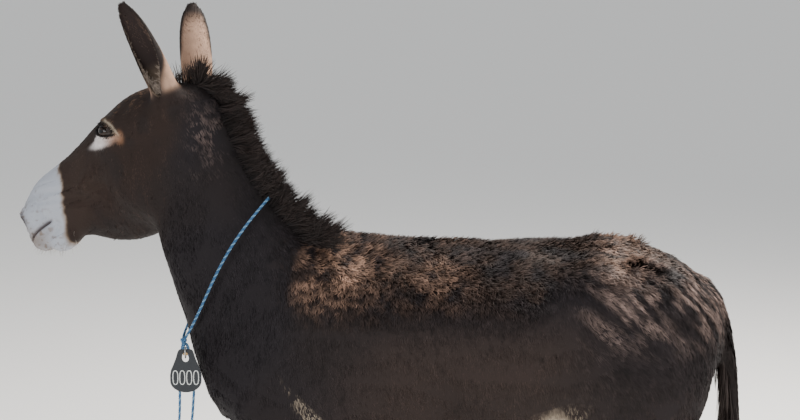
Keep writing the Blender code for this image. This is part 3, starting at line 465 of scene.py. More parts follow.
def flesh_steps():
    steps = [(Sweep(TRUNK, (0.0, 1.0, 0.0), 48), 0.02, 1)]
    steps.append((Sweep(WITHERS, (0.0, 1.0, 0.0), 20), 0.08, 1))
    for side in (1, -1):
        for x, y, z, radii, blend in BODY_SIDES:
            steps.append((Ball((x, side * y, z), radii), blend, 1))
    steps += [(sweep, 0.06, 1) for sweep in LEG_SWEEPS.values()]
    steps += [(NECK_SWEEP, 0.09, 1), (CREST_SWEEP, 0.03, 1)]
    return steps + head_steps()


FLESH = flesh_steps()


def past_withers(p):
    """True on the neck's side of the plane where it leaves the trunk."""
    return (p[:, 0] + 0.5) * -0.797 + (p[:, 2] - 1.035) * 0.604 > 0


def head_share(p):
    """1 on the head, 0 on the neck and body."""
    u, _, n = head_place(p).T
    return ramp((u - 0.06) * 0.74 + (n + 0.15) * 0.67, -0.03, 0.03)


def wool_share(p):
    """1 where the coat of the back is long and woolly."""
    x, z = p[:, 0], p[:, 2]
    edge = 0.990 + 0.045 * ramp(x, 0.10, 0.20) + 0.03 * bump(x, 0.19, 0.04)
    return ramp(z, edge - 0.055, edge + 0.055) * ramp(x, -0.48, -0.34) * ramp(x, 0.52, 0.42)


def croup_share(p):
    return ramp(p[:, 0], 0.18, 0.30) * ramp(p[:, 2], 0.72, 0.90)


def coat_depth(p):
    """How far the skin lies inside the tips of the coat."""
    z = p[:, 2]
    head = head_share(p)
    muzzle = ramp(head_place(p)[:, 0], 0.33, 0.40) * head
    depth = 0.0065 + 0.0105 * wool_share(p) + 0.004 * croup_share(p)
    depth = depth - 0.0030 * ramp(z, 0.62, 0.40)
    return depth * (1 - head) + (0.0036 - 0.0016 * muzzle) * head


def relief(p):
    """Grooves (above 0) and folds (below 0) of the skin, and the coat's soft unevenness."""
    total = (noise(p, 0.05, 3) - 0.5) * 0.0035 * (1 - head_share(p))
    total += (noise(p, 0.018, 5) - 0.5) * 0.004 * wool_share(p)
    u, l, n = head_place(p).T
    here = (u > 0.02) & (n > -0.30) & (p[:, 0] < -0.55)
    if here.any():
        total[here] += head_relief(u[here], np.abs(l[here]), n[here], p[here])
    share, across, over, _, size = NECK_SWEEP.local(p)
    side = across / size[:, 0]
    folds = bump(side, -0.85, 0.35) * ramp(share, 0.45, 0.65) * ramp(share, 1.0, 0.85)
    total += 0.0035 * folds * np.maximum(0, np.sin(share * 62 + over * 20)) ** 2
    return total


def mouth_height(u):
    return -0.0825 - 0.07 * (u - 0.45) - 0.9 * np.maximum(u - 0.498, 0) ** 1.3


# Depth of the mouth's groove and, below 0, fullness of each lip: with it the offset from the
# line of the mouth and the half width.
MOUTH_FOLDS = [(0.0052, 0.0, 0.0020), (-0.0022, 0.0085, 0.006), (-0.0016, -0.0085, 0.006)]
# Depth of each groove round the eye, its distance from the slit, its half width, and the heights
# over the slit's middle between which it comes in.
EYE_FOLDS = [(0.0022, 0.0060, 0.0016, 0.0, 0.012), (0.0014, 0.0135, 0.0026, 0.0, 0.014),
             (0.0014, 0.0075, 0.0024, 0.0, -0.010), (0.0010, 0.0140, 0.0026, -0.010, -0.018)]


def head_relief(u, l, n, p):
    """Depth of the grooves and folds of the face. l is measured outwards on either side."""
    mouth = n - mouth_height(u)
    reach = ramp(u, 0.436, 0.452)
    total = np.zeros(len(u))
    for deep, at, wide in MOUTH_FOLDS:
        total += deep * bump(mouth, at, wide) * reach
    # chin pad, nostril folds and small wrinkles of the muzzle
    total += 0.002 * bump(u, 0.493, 0.006) * bump(n, -0.118, 0.012)
    ring = np.hypot(u - 0.487, (n + 0.047) * 0.75)
    near = ramp(u, 0.475, 0.455) * ramp(u, 0.400, 0.425) * ramp(l, 0.015, 0.03)
    for radius in (0.034, 0.044):
        total += 0.0009 * bump(ring, radius, 0.0026) * near
    total += (noise(p, 0.006, 8) - 0.5) * 0.0009 * ramp(u, 0.40, 0.45)
    # folds over and under the eye, and the hollow above it
    _, b, gap, outer = eye_place(p)
    for deep, at, wide, low, high in EYE_FOLDS:
        total += deep * bump(gap, at, wide) * ramp(b, low, high) * outer
    total += 0.0045 * bump(u, 0.108, 0.016) * bump(n, -0.010, 0.013) * ramp(l, 0.035, 0.055)
    # the facial crest and the muscle of the cheek
    total -= 0.0016 * bump(n + 0.068 - 0.02 * (u - 0.24), 0, 0.011) * bump(u, 0.255, 0.05)
    total += 0.0012 * bump(n + 0.088, 0, 0.014) * bump(u, 0.262, 0.045)
    edge = bump(u - 0.62 * (n + 0.12), 0.262, 0.016)
    total += 0.0026 * edge * ramp(n, -0.08, -0.11) * ramp(n, -0.26, -0.21)
    return total


def eye_place(p):
    """Places forward and up from the nearer eye, how far they lie outside the slit between the
    lids, and 1 on the head's sides."""
    u, l, n = head_place(p).T
    centre, along, up, out = eye_frame(1)
    q = on_head(np.stack([u, np.abs(l), n], 1))
    v = q - centre
    gap = Almond(centre, along, up, out, *LIDS, -1.0).distance(q)
    return v @ along, v @ up, gap, ramp(v @ out, -0.020, -0.010)


def eye_frame(side):
    """Where an eye is, and its axes: forwards along the slit, up, and out."""
    centre = on_head((EYE_AT[0], side * EYE_AT[1], EYE_AT[2]))
    out = unit(np.array([0.12, side * 0.96, 0.20]) @ HEAD_AXES)
    along = np.array([0.76, 0.0, 0.65]) @ HEAD_AXES
    along = unit(along - out * (along @ out))
    up = np.cross(along, out) * side
    return centre, along, up, out


def detail_steps():
    """Shapes added to the skin itself: ears, dock, lids and nostrils. The small bones of the legs are added
    apart, by leg_details.
    """
    steps = [(Ball(ear.base - ear.axis * 0.016, (0.033, 0.033, 0.036)), 0.035, 1) for ear in EARS.values()]
    steps += [(EARS[1], 0.020, 1), (EARS[-1], 0.020, 1), (DOCK_SWEEP, 0.03, 1)]
    radius = EYE_RADIUS * HEAD_SCALE
    for side in (1, -1):
        centre, along, up, out = eye_frame(side)
        steps += [
            (Ball(centre, (radius + 0.0036,) * 3), 0.012, 1),
            (Ball(centre + up * 0.0250 - along * 0.001, (0.027, 0.009, 0.0145), np.stack([along, up, out])),
             0.012, 1),
            (head_ball((0.492, side * 0.036, -0.046), (0.020, 0.015, 0.026), 15), 0.012, 1),
            (Almond(centre, along, up, out, *LIDS, 0.002), 0.0012, -1),
            (Ball(centre, (radius + 0.0002,) * 3), 0.0006, -1),
            (head_ball((0.505, side * 0.038, -0.049), (0.014, 0.0135, 0.021), 30), 0.004, -1),
            (head_ball((0.490, side * 0.042, -0.034), (0.015, 0.006, 0.008), -35), 0.005, -1),
        ]
    return steps


DETAIL = detail_steps()


# Bones under the skin of the legs: height, offset forwards and outwards from the leg's middle
# there, the half sizes and the blend.
BONES = {
    "front": [(0.745, -0.082, 0.012, (0.030, 0.018, 0.034), 0.030),   # elbow
              (0.405, 0.012, 0.0, (0.020, 0.026, 0.034), 0.025),      # knee
              (0.400, -0.024, 0.0, (0.012, 0.014, 0.022), 0.020),     # back of the knee
              (0.170, -0.022, 0.0, (0.012, 0.018, 0.014), 0.010)],    # fetlock
    "hind": [(0.700, 0.100, 0.020, (0.030, 0.030, 0.040), 0.040),     # stifle
             (0.455, -0.034, 0.0, (0.012, 0.014, 0.030), 0.012),      # point of the hock
             (0.405, 0.015, 0.0, (0.020, 0.027, 0.022), 0.014),       # hock
             (0.172, -0.022, 0.0, (0.012, 0.018, 0.014), 0.010)],     # fetlock
}


def leg_details():
    steps = []
    for name, (_, side) in LEGS.items():
        middle = LEG_SWEEPS[name].centre
        for z, forward, outward, radii, blend in BONES[name.split("_")[0]]:
            at = middle[np.abs(middle[:, 2] - z).argmin()]
            steps.append((Ball(at + np.array((-forward, side * outward, 0.0)), radii), blend, 1))
    return steps


LEG_DETAIL = leg_details()


def skin_field(p):
    """Distance to the skin."""
    total = field(FLESH, p, None, NEAR)
    total = field(LEG_DETAIL, p, total, NEAR) + coat_depth(p)
    close = np.abs(total) < 0.03
    if close.any():
        total[close] += relief(p[close])
    return field(DETAIL, p, total, NEAR)


def slope_of(p, step=0.0006):
    """The skin's outward normal near points, from the field's slope."""
    slope = np.empty((len(p), 3))
    for axis in range(3):
        shift = np.zeros(3)
        shift[axis] = step
        slope[:, axis] = skin_field(p + shift) - skin_field(p - shift)
    return unit(slope)


def onto_skin(p, turns=4):
    """Points moved onto the skin, and the skin's normals there."""
    p = np.array(p, float)
    for _ in range(turns):
        p -= np.clip(skin_field(p), -0.02, 0.02)[:, None] * slope_of(p) * 0.9
    return p, slope_of(p)


# ---------------------------------------------------------------- meshing
BLOCK = 6


def graded(low, breaks):
    """Grid lines from low, where each break is (end, cell size)."""
    lines = [low]
    for end, size in breaks:
        while lines[-1] < end:
            lines.append(lines[-1] + size)
    while (len(lines) - 1) % BLOCK:
        lines.append(lines[-1] + size)
    return np.array(lines)


def surface_net(distance, lines):
    """Vertices and quads of a field's zero surface on a graded grid, worked in blocks near it."""
    count = np.array([(len(line) - 1) // BLOCK for line in lines])
    blocks = np.stack(np.meshgrid(*[np.arange(n) for n in count], indexing="ij"), -1).reshape(-1, 3)
    first = np.stack([lines[i][blocks[:, i] * BLOCK] for i in range(3)], 1)
    last = np.stack([lines[i][(blocks[:, i] + 1) * BLOCK] for i in range(3)], 1)
    reach = np.linalg.norm(last - first, axis=1) * 0.5 + 0.012
    blocks = blocks[np.abs(field(FLESH + DETAIL, (first + last) / 2)) < reach * 1.25]
    corner = np.stack(np.meshgrid(*[np.arange(BLOCK + 1)] * 3, indexing="ij"), -1).reshape(-1, 3)
    values, cells = [], []
    for start in range(0, len(blocks), 600):
        part = blocks[start:start + 600]
        grid = (part[:, None] * BLOCK + corner[None]).reshape(-1, 3)
        places = np.stack([lines[i][grid[:, i]] for i in range(3)], 1)
        found = distance(places).reshape(-1, BLOCK + 1, BLOCK + 1, BLOCK + 1)
        eight = np.stack([found[:, i:i + BLOCK, j:j + BLOCK, k:k + BLOCK]
                          for i in (0, 1) for j in (0, 1) for k in (0, 1)], -1)
        inside = (eight < 0).sum(-1)
        b, i, j, k = np.nonzero((inside > 0) & (inside < 8))
        values.append(eight[b, i, j, k])
        cells.append(part[b] * BLOCK + np.stack([i, j, k], 1))
    values, cells = np.concatenate(values), np.concatenate(cells)
    offsets = np.array([(i, j, k) for i in (0, 1) for j in (0, 1) for k in (0, 1)])
    total, weight = np.zeros((len(cells), 3)), np.zeros(len(cells))
    for a in range(8):
        for b in range(a + 1, 8):
            if np.abs(offsets[a] - offsets[b]).sum() == 1:
                cross = (values[:, a] < 0) != (values[:, b] < 0)
                share = values[cross, a] / (values[cross, a] - values[cross, b])
                total[cross] += offsets[a] + share[:, None] * (offsets[b] - offsets[a])
                weight[cross] += 1
    share = total / weight[:, None]
    low = np.stack([lines[i][cells[:, i]] for i in range(3)], 1)
    high = np.stack([lines[i][cells[:, i] + 1] for i in range(3)], 1)
    vertices = low + (high - low) * share
    span = count * BLOCK + 2
    key = ((cells[:, 0] + 1) * span[1] + cells[:, 1] + 1) * span[2] + cells[:, 2] + 1
    order = np.argsort(key)
    key_sorted = key[order]
    quads = []
    strides = np.array([span[1] * span[2], span[2], 1])
    for axis, tip in ((0, 4), (1, 2), (2, 1)):
        one, two = strides[(axis + 1) % 3], strides[(axis + 2) % 3]
        base_in, tip_in = values[:, 0] < 0, values[:, tip] < 0
        for rising in (True, False):
            pick = np.nonzero((base_in & ~tip_in) if rising else (~base_in & tip_in))[0]
            ring = np.stack([key[pick], key[pick] - one, key[pick] - one - two, key[pick] - two], 1)
            if not rising:
                ring = ring[:, ::-1]
            at = np.minimum(np.searchsorted(key_sorted, ring), len(key_sorted) - 1)
            whole = (key_sorted[at] == ring).all(1)
            quads.append(order[at[whole]])
    return vertices, np.concatenate(quads)


# ---------------------------------------------------------------- colours
def colour(red, green, blue):
    """A linear colour from display values of 0 to 255."""
    c = np.array((red, green, blue)) / 255.0
    return np.where(c <= 0.04045, c / 12.92, ((c + 0.055) / 1.055) ** 2.4)


DARK, BROWN, CHEEK = colour(33, 27, 26), colour(56, 43, 37), colour(40, 30, 26)
NECK_COAT, FLANK, LEG_COAT = colour(30, 26, 28), colour(46, 37, 34), colour(46, 39, 35)
WOOL_ROOT, WOOL_TIP, GOLD = colour(36, 28, 26), colour(58, 45, 39), colour(158, 124, 104)
CROUP_SHEEN, PALE, SAND = colour(148, 126, 117), colour(176, 160, 140), colour(164, 142, 120)
MUZZLE, MOTTLE, LIP = colour(164, 167, 175), colour(120, 108, 100), colour(62, 50, 48)
WHITE, TAN, FLECK = colour(206, 198, 196), colour(146, 106, 80), colour(140, 108, 84)
EAR_TAN, EAR_DARK, EAR_INSIDE = colour(172, 140, 119), colour(38, 31, 29), colour(42, 33, 31)
ASH, LID = colour(122, 104, 98), colour(24, 19, 18)
ROPE_BLUE, ROPE_LIGHT = colour(54, 104, 148), colour(122, 164, 194)
TAG_BLACK, DIGIT_PALE, LEATHER = colour(25, 29, 34), colour(214, 216, 212), colour(196, 160, 112)
STEEL = colour(190, 190, 186)
# Tints of long hair at the root and the tip.
FRINGE = colour(66, 54, 48), colour(138, 124, 112)
LASH = colour(20, 16, 15), colour(30, 24, 22)
WHISKER = colour(150, 140, 130), colour(190, 184, 176)
MANE_ROOT, MANE_TIP = colour(26, 22, 22), colour(50, 41, 38)
HOOF_DARK, HOOF_PALE, LEG_PALE = colour(60, 51, 44), colour(128, 110, 90), colour(66, 56, 51)


def tinted(points, tint):
    """The same tint for each point."""
    return np.tile(tint, (len(points), 1))


def mix(base, other, share):
    """base where share is 0, other where it is 1."""
    return base + (other - base) * np.clip(share, 0, 1)[:, None]


def markings(p, normal):
    """The coat's colour at the roots and at the tips, for points of the skin."""
    x, y, z = p.T
    fine, medium, streak = noise(p, 0.012, 1), noise(p, 0.035, 2), noise(p * (1, 1, 0.16), 0.008, 12)
    root, tip = body_marks(p, normal, fine, medium, streak)
    face, face_tip = face_marks(p, fine, medium, streak)
    head = head_share(p)
    root, tip = mix(root, face, head), mix(tip, face_tip, head)
    # ears: tan behind with dark borders and tips, dark inside
    for ear in EARS.values():
        near = ear.near(p, 0.01) & (ear.distance(p) < 0.006)
        if near.any():
            share, across, back, _, width, depth, wrap = ear.local(p[near])
            angle = np.abs(np.arctan2(across / width, back / depth))
            outside = outside_ear(across, back, width, depth)
            wide = 0.35 * ramp(share, 0.5, 0.2)
            tan = ramp(angle / wrap, 0.74 + wide, 0.45 + wide)
            tan = tan * ramp(share, 0.93, 0.70) * ramp(share, 0.02, 0.14)
            shade = mix(tinted(share, EAR_DARK), EAR_TAN, tan * (0.75 + 0.25 * fine[near]))
            inside = mix(tinted(share, EAR_INSIDE), SAND, 0.5 * ramp(share, 0.40, 0.15))
            shade = np.where(outside[:, None], shade, inside)
            over = ramp(share, 0.03, 0.14)
            root[near], tip[near] = mix(root[near], shade, over), mix(tip[near], shade * 1.15, over)
    # poll, crest line and tail
    crest = crest_share(p)
    root, tip = mix(root, MANE_ROOT, crest), mix(tip, MANE_ROOT * 1.3, crest)
    tail = ramp(x, 0.50, 0.56) * ramp(z, 0.99, 0.93) * ramp(z, 0.3, 0.5) * ramp(np.abs(y), 0.05, 0.035)
    return mix(root, DARK * 0.8, tail), mix(tip, DARK * 1.2, tail)


def body_marks(p, normal, fine, medium, streak):
    """Tints of the neck, trunk and legs."""
    x, y, z = p.T
    broad = noise(p, 0.14, 4)
    root = tinted(p, NECK_COAT)
    root = mix(root, FLANK, ramp(x, -0.45, -0.15) * ramp(z, 1.05, 0.90))
    root = mix(root, NECK_COAT, 0.8 * ramp(x, 0.12, 0.32) * ramp(z, 1.02, 0.93))
    root = mix(root, DARK, 0.6 * ramp(broad, 0.45, 0.75))
    tip = root * (0.80 + 0.9 * streak)[:, None]
    # flanks and croup: paler tips, brown on the flanks, and on the croup a painted sheen that is brightest
    # towards the top
    croup = croup_share(p)
    strand = noise(p * (0.55, 1, 0.55) + p[:, [2, 1, 0]] * (0.45, 0, 0.45), 0.010, 15)
    tip = mix(tip, CROUP_SHEEN, croup * ramp(z, 0.88, 1.04) * ramp(0.7 * strand + 0.5 * medium, 0.42, 0.85))
    tip = mix(tip, BROWN, 0.5 * ramp(x, -0.35, -0.1) * ramp(z, 1.0, 0.8) * (1 - croup) * fine)
    # the woolly back, with patches of painted sunlight that also stand for sun-bleached tips
    wool = wool_share(p)
    root = mix(root, WOOL_ROOT, wool)
    wool = wool * ramp(wool + 0.9 * (broad - 0.5), 0.1, 0.6)
    tip = mix(tip, WOOL_TIP, wool * ramp(medium, 0.25, 0.65))
    # patches of painted sunlight on the back, which stand for sun-bleached tips as well
    sunlit_and_bleached = 1.6 * bump(x, -0.36, 0.10) * bump(z, 1.065, 0.06)
    sunlit_and_bleached += 0.6 * bump(x, -0.10, 0.05) * bump(z, 1.06, 0.035) + 0.10 * ramp(x, 0.02, -0.04)
    sunlit_and_bleached += 0.6 * bump(x, 0.32, 0.06) * ramp(z, 1.03, 1.09)
    sunlit_and_bleached = wool * np.clip(sunlit_and_bleached, 0, 1)
    root = mix(root, WOOL_TIP, 0.6 * sunlit_and_bleached)
    tip = mix(tip, GOLD, sunlit_and_bleached * ramp(fine + 0.4 * medium, 0.30, 1.0))
    # pale belly, groin and the strip behind the elbow
    line = 0.655 + 0.165 * bump(x + 0.75 * (z - 0.76), -0.365, 0.026)
    line += 0.13 * bump(x, 0.17, 0.055) + 0.05 * (medium - 0.5)
    under = ramp(z, line + 0.045, line - 0.035) * ramp(x, -0.47, -0.41) * ramp(x, 0.40, 0.30)
    under *= ramp(np.abs(y), 0.235, 0.215) * (1 - 0.6 * ramp(x, -0.28, -0.32) * ramp(z, 0.70, 0.80))
    leg = ramp(z, 0.66, 0.58)
    low = ramp(z, 0.42, 0.16)[:, None]
    shin = LEG_COAT * (1 - low) + LEG_PALE * low
    root, tip = mix(root, shin, leg), mix(tip, shin * (1.0 + 0.5 * streak)[:, None], leg)
    inner = ramp(normal[:, 1] * np.sign(y), 0.10, -0.55) * ramp(z, 0.24, 0.42) * ramp(z, 0.80, 0.66)
    outer_leg = ramp(np.abs(y), 0.130, 0.150) * ramp(z, 0.74, 0.68)
    for share in (under * (1 - leg) * (1 - outer_leg), 0.75 * inner):
        root, tip = mix(root, PALE * 0.75, share), mix(tip, PALE, share)
    # bleached flecks of the neck behind the cheek
    patch = oval((x + 0.625) / 0.05, (z - 1.37) / 0.075) + oval((x + 0.680) / 0.035, (z - 1.475) / 0.03)
    patch *= 0.62 * (1 - head_share(p)) * ramp(fine + 0.3 * medium, 0.45, 0.90)
    return root, mix(tip, ASH, patch)


def face_marks(p, fine, medium, streak):
    """Tints of the head: dark, with a pale muzzle, and a tan and cream patch by each eye."""
    u, l, n = head_place(p).T
    face = mix(tinted(p, CHEEK), DARK, 0.6 * ramp(medium, 0.4, 0.8))
    face = mix(face, BROWN, 0.45 * ramp(u, 0.20, 0.33) * ramp(n, -0.16, -0.10))
    # painted shade: the lower jaw darker towards its underside
    face = mix(face, DARK, 0.6 * ramp(n, -0.13, -0.19))
    face_tip = face * (0.70 + 1.2 * streak * ramp(u, 0.40, 0.30))[:, None]
    hairs = ramp(noise(p * (1, 1, 0.22), 0.011, 21), 0.50, 0.85) * ramp(u, 0.36, 0.28)
    face_tip = mix(face_tip, BROWN * 2.0, 0.75 * hairs)
    brow = ramp(n, -0.034, -0.008) * ramp(u, 0.03, 0.07) * ramp(u, 0.175, 0.150)
    face_tip = mix(face_tip, FLECK, 0.9 * brow * ramp(fine + 0.4 * medium, 0.50, 0.85))
    a, b, gap, side = eye_place(p)
    tan = oval((a + 0.047) / 0.012, (b + 0.006) / 0.016, 2)
    band = bump(gap, 0.0095, 0.0038) * ramp(b, -0.008, 0.002) * ramp(a, 0.012, -0.004)
    tilt = b + 0.0235 + 0.34 * (a - 0.004)
    pale = oval((a - 0.010) / 0.058, tilt / (0.0165 - 0.06 * np.abs(a - 0.004)), 3)
    face = mix(face, TAN, 0.55 * side * tan)
    face = mix(face, PALE, 0.60 * side * band)
    cream = mix(tinted(p, WHITE), TAN, 0.85 * ramp(a, 0.002, -0.036))
    face = mix(face, cream, 0.90 * side * pale * (0.85 + 0.3 * fine))
    rim = side * ramp(gap, 0.0056, 0.0040)
    face = mix(face, LID, rim)
    face_tip = mix(face_tip, face, side * np.clip(tan + band + pale + rim, 0, 1))
    edge = 0.363 + 0.012 * ramp(n, -0.03, -0.055) + 0.72 * np.maximum(0, -0.045 - n)
    edge += 0.008 * (fine - 0.5) + 0.005 * (medium - 0.5)
    face = mix(face, SAND, 0.6 * ramp(u, edge - 0.012, edge))
    face_tip = mix(face_tip, SAND, 0.6 * ramp(u, edge - 0.012, edge))
    white = ramp(u, edge - 0.008, edge + 0.008)
    spots = ramp(noise(p, 0.007, 9), 0.66, 0.80) * ramp(u, 0.41, 0.46)
    # greyer towards the front of the nose and in a band by the mouth
    front_grey = ramp(u, 0.470, 0.505) * 0.45 + 0.6 * bump(n, -0.095, 0.016) * ramp(u, 0.44, 0.49)
    muzzle = mix(tinted(p, MUZZLE), MOTTLE, np.clip(0.55 * spots + front_grey * 0.8, 0, 1))
    nostril = oval((u - 0.505) / 0.016, (n + 0.046) / 0.017, 2) * ramp(np.abs(l), 0.018, 0.026)
    mouth = n - mouth_height(u)
    lips = bump(mouth, 0, 0.0032) * ramp(u, 0.438, 0.450)
    muzzle = mix(muzzle, LIP, np.clip(0.9 * nostril + 0.9 * lips, 0, 1))
    # painted shade deep in each nostril's hollow
    hollow = bump(u, 0.503, 0.010) * bump(n, -0.048, 0.013) * ramp(np.abs(l), 0.022, 0.030)
    muzzle = mix(muzzle, DARK * 0.6, hollow)
    return mix(face, muzzle, white), mix(face_tip, muzzle, white)


def crest_share(p):
    """1 along the strip that the mane grows from."""
    share, across, over, _, size = NECK_SWEEP.local(p)
    strip = ramp(np.abs(across), 0.030, 0.016) * ramp(over, 0.5 * size[:, 1], 0.8 * size[:, 1])
    u, l, n = head_place(p).T
    poll = ramp(u, 0.055, 0.02) * ramp(u, -0.12, -0.05)
    poll *= ramp(np.abs(l), 0.035, 0.02) * ramp(n, -0.08, -0.05)
    return np.maximum(strip * ramp(share, 0.18, 0.26) * ramp(share, 1.2, 1.0), poll)


def lie(p, normal):
    """The way the coat lies, along the skin."""
    x, y, z = p.T
    side = np.sign(y)
    down = np.tile((0.18, 0.0, -1.0), (len(p), 1))
    back = np.stack([np.full(len(p), 1.0), 0.25 * side, np.full(len(p), -0.25)], 1)
    top = ramp(normal[:, 2], 0.55, 0.90)
    way = mix(down, back, top)
    way = mix(way, np.array((0.85, 0.0, -0.85)), croup_share(p) * ramp(x, 0.5, 0.35))
    way = mix(way, np.array((0.9, 0.0, -0.35)), ramp(normal[:, 2], -0.5, -0.85) * ramp(z, 0.50, 0.56))
    way = mix(way, np.array((0.45, -0.12, -0.88)), ramp(x, -0.42, -0.52) * ramp(z, 0.95, 1.05))
    way = mix(way, np.array((0.05, 0.0, -1.0)), ramp(z, 0.64, 0.52))
    u, l, n = head_place(p).T
    head = head_share(p)
    bridge = HEAD_AXES[0] + HEAD_AXES[1] * (np.sign(l) * 0.15)[:, None]
    cheek = np.array((0.10, 0.0, -1.0))
    way_head = mix(bridge, np.tile(cheek, (len(p), 1)), ramp(n, -0.03, -0.07) * ramp(u, 0.40, 0.30))
    way = mix(way, way_head, head)
    for ear in EARS.values():
        near = ear.near(p, 0.01) & (ear.distance(p) < 0.008)
        if near.any():
            share = ear.local(p[near])[0]
            way[near] = mix(way[near], ear.axis, ramp(share, 0.02, 0.12))
    swirl = (noise(p, 0.045, 6) - 0.5) * 1.3 * wool_share(p) * ramp(x, 0.36, 0.26)
    swirl += (noise(p, 0.08, 7) - 0.5) * 0.35
    way = unit(way - normal * dots(way, normal)[:, None])
    aside = np.cross(normal, way)
    return unit(way * np.cos(swirl)[:, None] + aside * np.sin(swirl)[:, None])


# ---------------------------------------------------------------- the skin's own unwrap
# Charts: 0 trunk, 1 neck, 2 head, 3 to 6 legs, 7 tail, 8 left ear and 9 right ear.
CHART_WIDTH = {0: 6.0, 1: 3.0, 2: 4.0, 3: 1.2, 4: 1.2, 5: 1.2, 6: 1.2, 7: 0.6, 8: 1.2, 9: 1.2}


def charts(p, ids=None):
    """Which part of the body each point is unwrapped with, and where on it: round it and along it."""
    if ids is None:
        ids = np.zeros(len(p), int)
        ids[p[:, 2] < 0.585] = 3
        legs = ids == 3
        ids[legs] += (p[legs, 1] > 0) + 2 * (p[legs, 0] > 0)
        ids[past_withers(p) & (p[:, 2] > 0.9)] = 1
        ids[head_share(p) > 0.5] = 2
        ids[DOCK_SWEEP.near(p, 0.01) & (DOCK_SWEEP.distance(p) < 0.012) & (p[:, 0] > 0.5)] = 7
        for chart, ear in ((8, EARS[1]), (9, EARS[-1])):
            near = ear.near(p, 0.01)
            near[near] = ear.distance(p[near]) < 0.006
            near[near] = ear.local(p[near])[0] > 0.02
            ids[near] = chart
    s, t = np.zeros(len(p)), np.zeros(len(p))
    for chart in np.unique(ids):
        here = ids == chart
        s[here], t[here] = unwrapped(chart, p[here])
    return ids, s, t


def unwrapped(chart, p):
    """Turns round the part's own axis, and the place along it, both about 0 to 1."""
    if chart in (0, 2):
        local = p if chart == 0 else head_place(p)
        centre, long, wide = (((0.0, 0.0, 0.87), 0.55, 0.24), ((0.25, 0.0, -0.09), 0.27, 0.085))[chart // 2]
        a, b, c = (local - np.array(centre)).T
        tilt = np.arctan2(a / long, np.hypot(b, c) / wide)
        return np.arctan2(b, c) / (2 * math.pi) + 0.5, tilt / math.pi + 0.5
    if chart in (8, 9):
        share, across, back, _, width, depth, wrap = EARS[1 if chart == 8 else -1].local(p)
        angle = np.arctan2(across / width, back / depth) / wrap
        outside = outside_ear(across, back, width, depth)
        return 0.25 + 0.2 * np.clip(angle, -1.2, 1.2) + 0.5 * outside, share
    sweep = {1: NECK_SWEEP, 7: DOCK_SWEEP}.get(chart)
    if sweep is None:
        sweep = LEG_SWEEPS[("front_left", "front_right", "hind_left", "hind_right")[chart - 3]]
    place, across, over, _, _ = sweep.local(p)
    return np.arctan2(across, over) / (2 * math.pi) + 0.5, place


def laid_out(ids, s, t):
    """Places in the square map: the charts stand side by side in columns."""
    found = np.unique(ids)
    widths = np.array([CHART_WIDTH[i] for i in found])
    edges = np.concatenate([[0], np.cumsum(widths)]) / widths.sum()
    at = np.searchsorted(found, ids)
    spread = []
    for value in (s, t):
        low = np.array([value[ids == i].min() for i in found])
        high = np.array([value[ids == i].max() for i in found])
        spread.append((value - low[at]) / np.maximum(high - low, 1e-6)[at])
    pad = 0.006
    width = (edges[1:] - edges[:-1])[at] - 2 * pad
    return np.stack([edges[at] + pad + spread[0] * width, pad + spread[1] * (1 - 2 * pad)], 1)


# ---------------------------------------------------------------- Blender objects
def material(name, roughness=0.6, **sockets):
    """A material that takes its colour from the mesh's own tint."""
    made = bpy.data.materials.new(name)
    made.use_nodes = True
    shader = made.node_tree.nodes["Principled BSDF"]
    tint = made.node_tree.nodes.new("ShaderNodeAttribute")
    tint.attribute_name = "tint"
    made.node_tree.links.new(tint.outputs["Color"], shader.inputs["Base Color"])
    shader.inputs["Roughness"].default_value = roughness
    for key, value in sockets.items():
        shader.inputs[key.replace("_", " ")].default_value = value
    return made


def add_bump(look, size, strength, distance, stretch=(1, 1, 1)):
    """Fine noise in the object's own space, as a bump."""
    nodes, links = look.node_tree.nodes, look.node_tree.links
    place, mapping = nodes.new("ShaderNodeTexCoord"), nodes.new("ShaderNodeMapping")
    mapping.inputs["Scale"].default_value = stretch
    grain, lift = nodes.new("ShaderNodeTexNoise"), nodes.new("ShaderNodeBump")
    grain.inputs["Scale"].default_value = 1 / size
    grain.inputs["Detail"].default_value = 3.0
    lift.inputs["Strength"].default_value = strength
    lift.inputs["Distance"].default_value = distance
    links.new(place.outputs["Object"], mapping.inputs["Vector"])
    links.new(mapping.outputs["Vector"], grain.inputs["Vector"])
    links.new(grain.outputs["Fac"], lift.inputs["Height"])
    links.new(lift.outputs["Normal"], nodes["Principled BSDF"].inputs["Normal"])
    return look


def mesh_of(name, vertices, faces, look, tint=None, normals=None, uv=None):
    """An object from arrays. faces has three or four columns. Vertices are in the body's own frame."""
    mesh = bpy.data.meshes.new(name)
    sides = faces.shape[1]
    mesh.vertices.add(len(vertices))
    mesh.vertices.foreach_set("co", (vertices + ORIGIN).astype(np.float32).ravel())
    mesh.loops.add(len(faces) * sides)
    mesh.loops.foreach_set("vertex_index", faces.astype(np.int32).ravel())
    mesh.polygons.add(len(faces))
    mesh.polygons.foreach_set("loop_start", np.arange(0, len(faces) * sides, sides, dtype=np.int32))
    mesh.update(calc_edges=True)
    mesh.polygons.foreach_set("use_smooth", np.ones(len(faces), bool))
    if tint is not None:
        paint(mesh, tint)
    if uv is not None:
        lay_out(mesh, uv)
    if normals is not None:
        mesh.normals_split_custom_set_from_vertices(unit(normals).astype(np.float32))
    made = bpy.data.objects.new(name, mesh)
    bpy.context.scene.collection.objects.link(made)
    mesh.materials.append(look)
    return made


def tube_faces(rows, turns, closed=False, flip=False):
    """Quads between neighbouring rings of turns points each."""
    faces = []
    for row in range(rows if closed else rows - 1):
        below, above = row * turns, (row + 1) % rows * turns
        for turn in range(turns):
            after = (turn + 1) % turns
            ring = (below + turn, below + after, above + after, above + turn)
            faces.append((ring[0], ring[3], ring[2], ring[1]) if flip else ring)
    return np.array(faces)


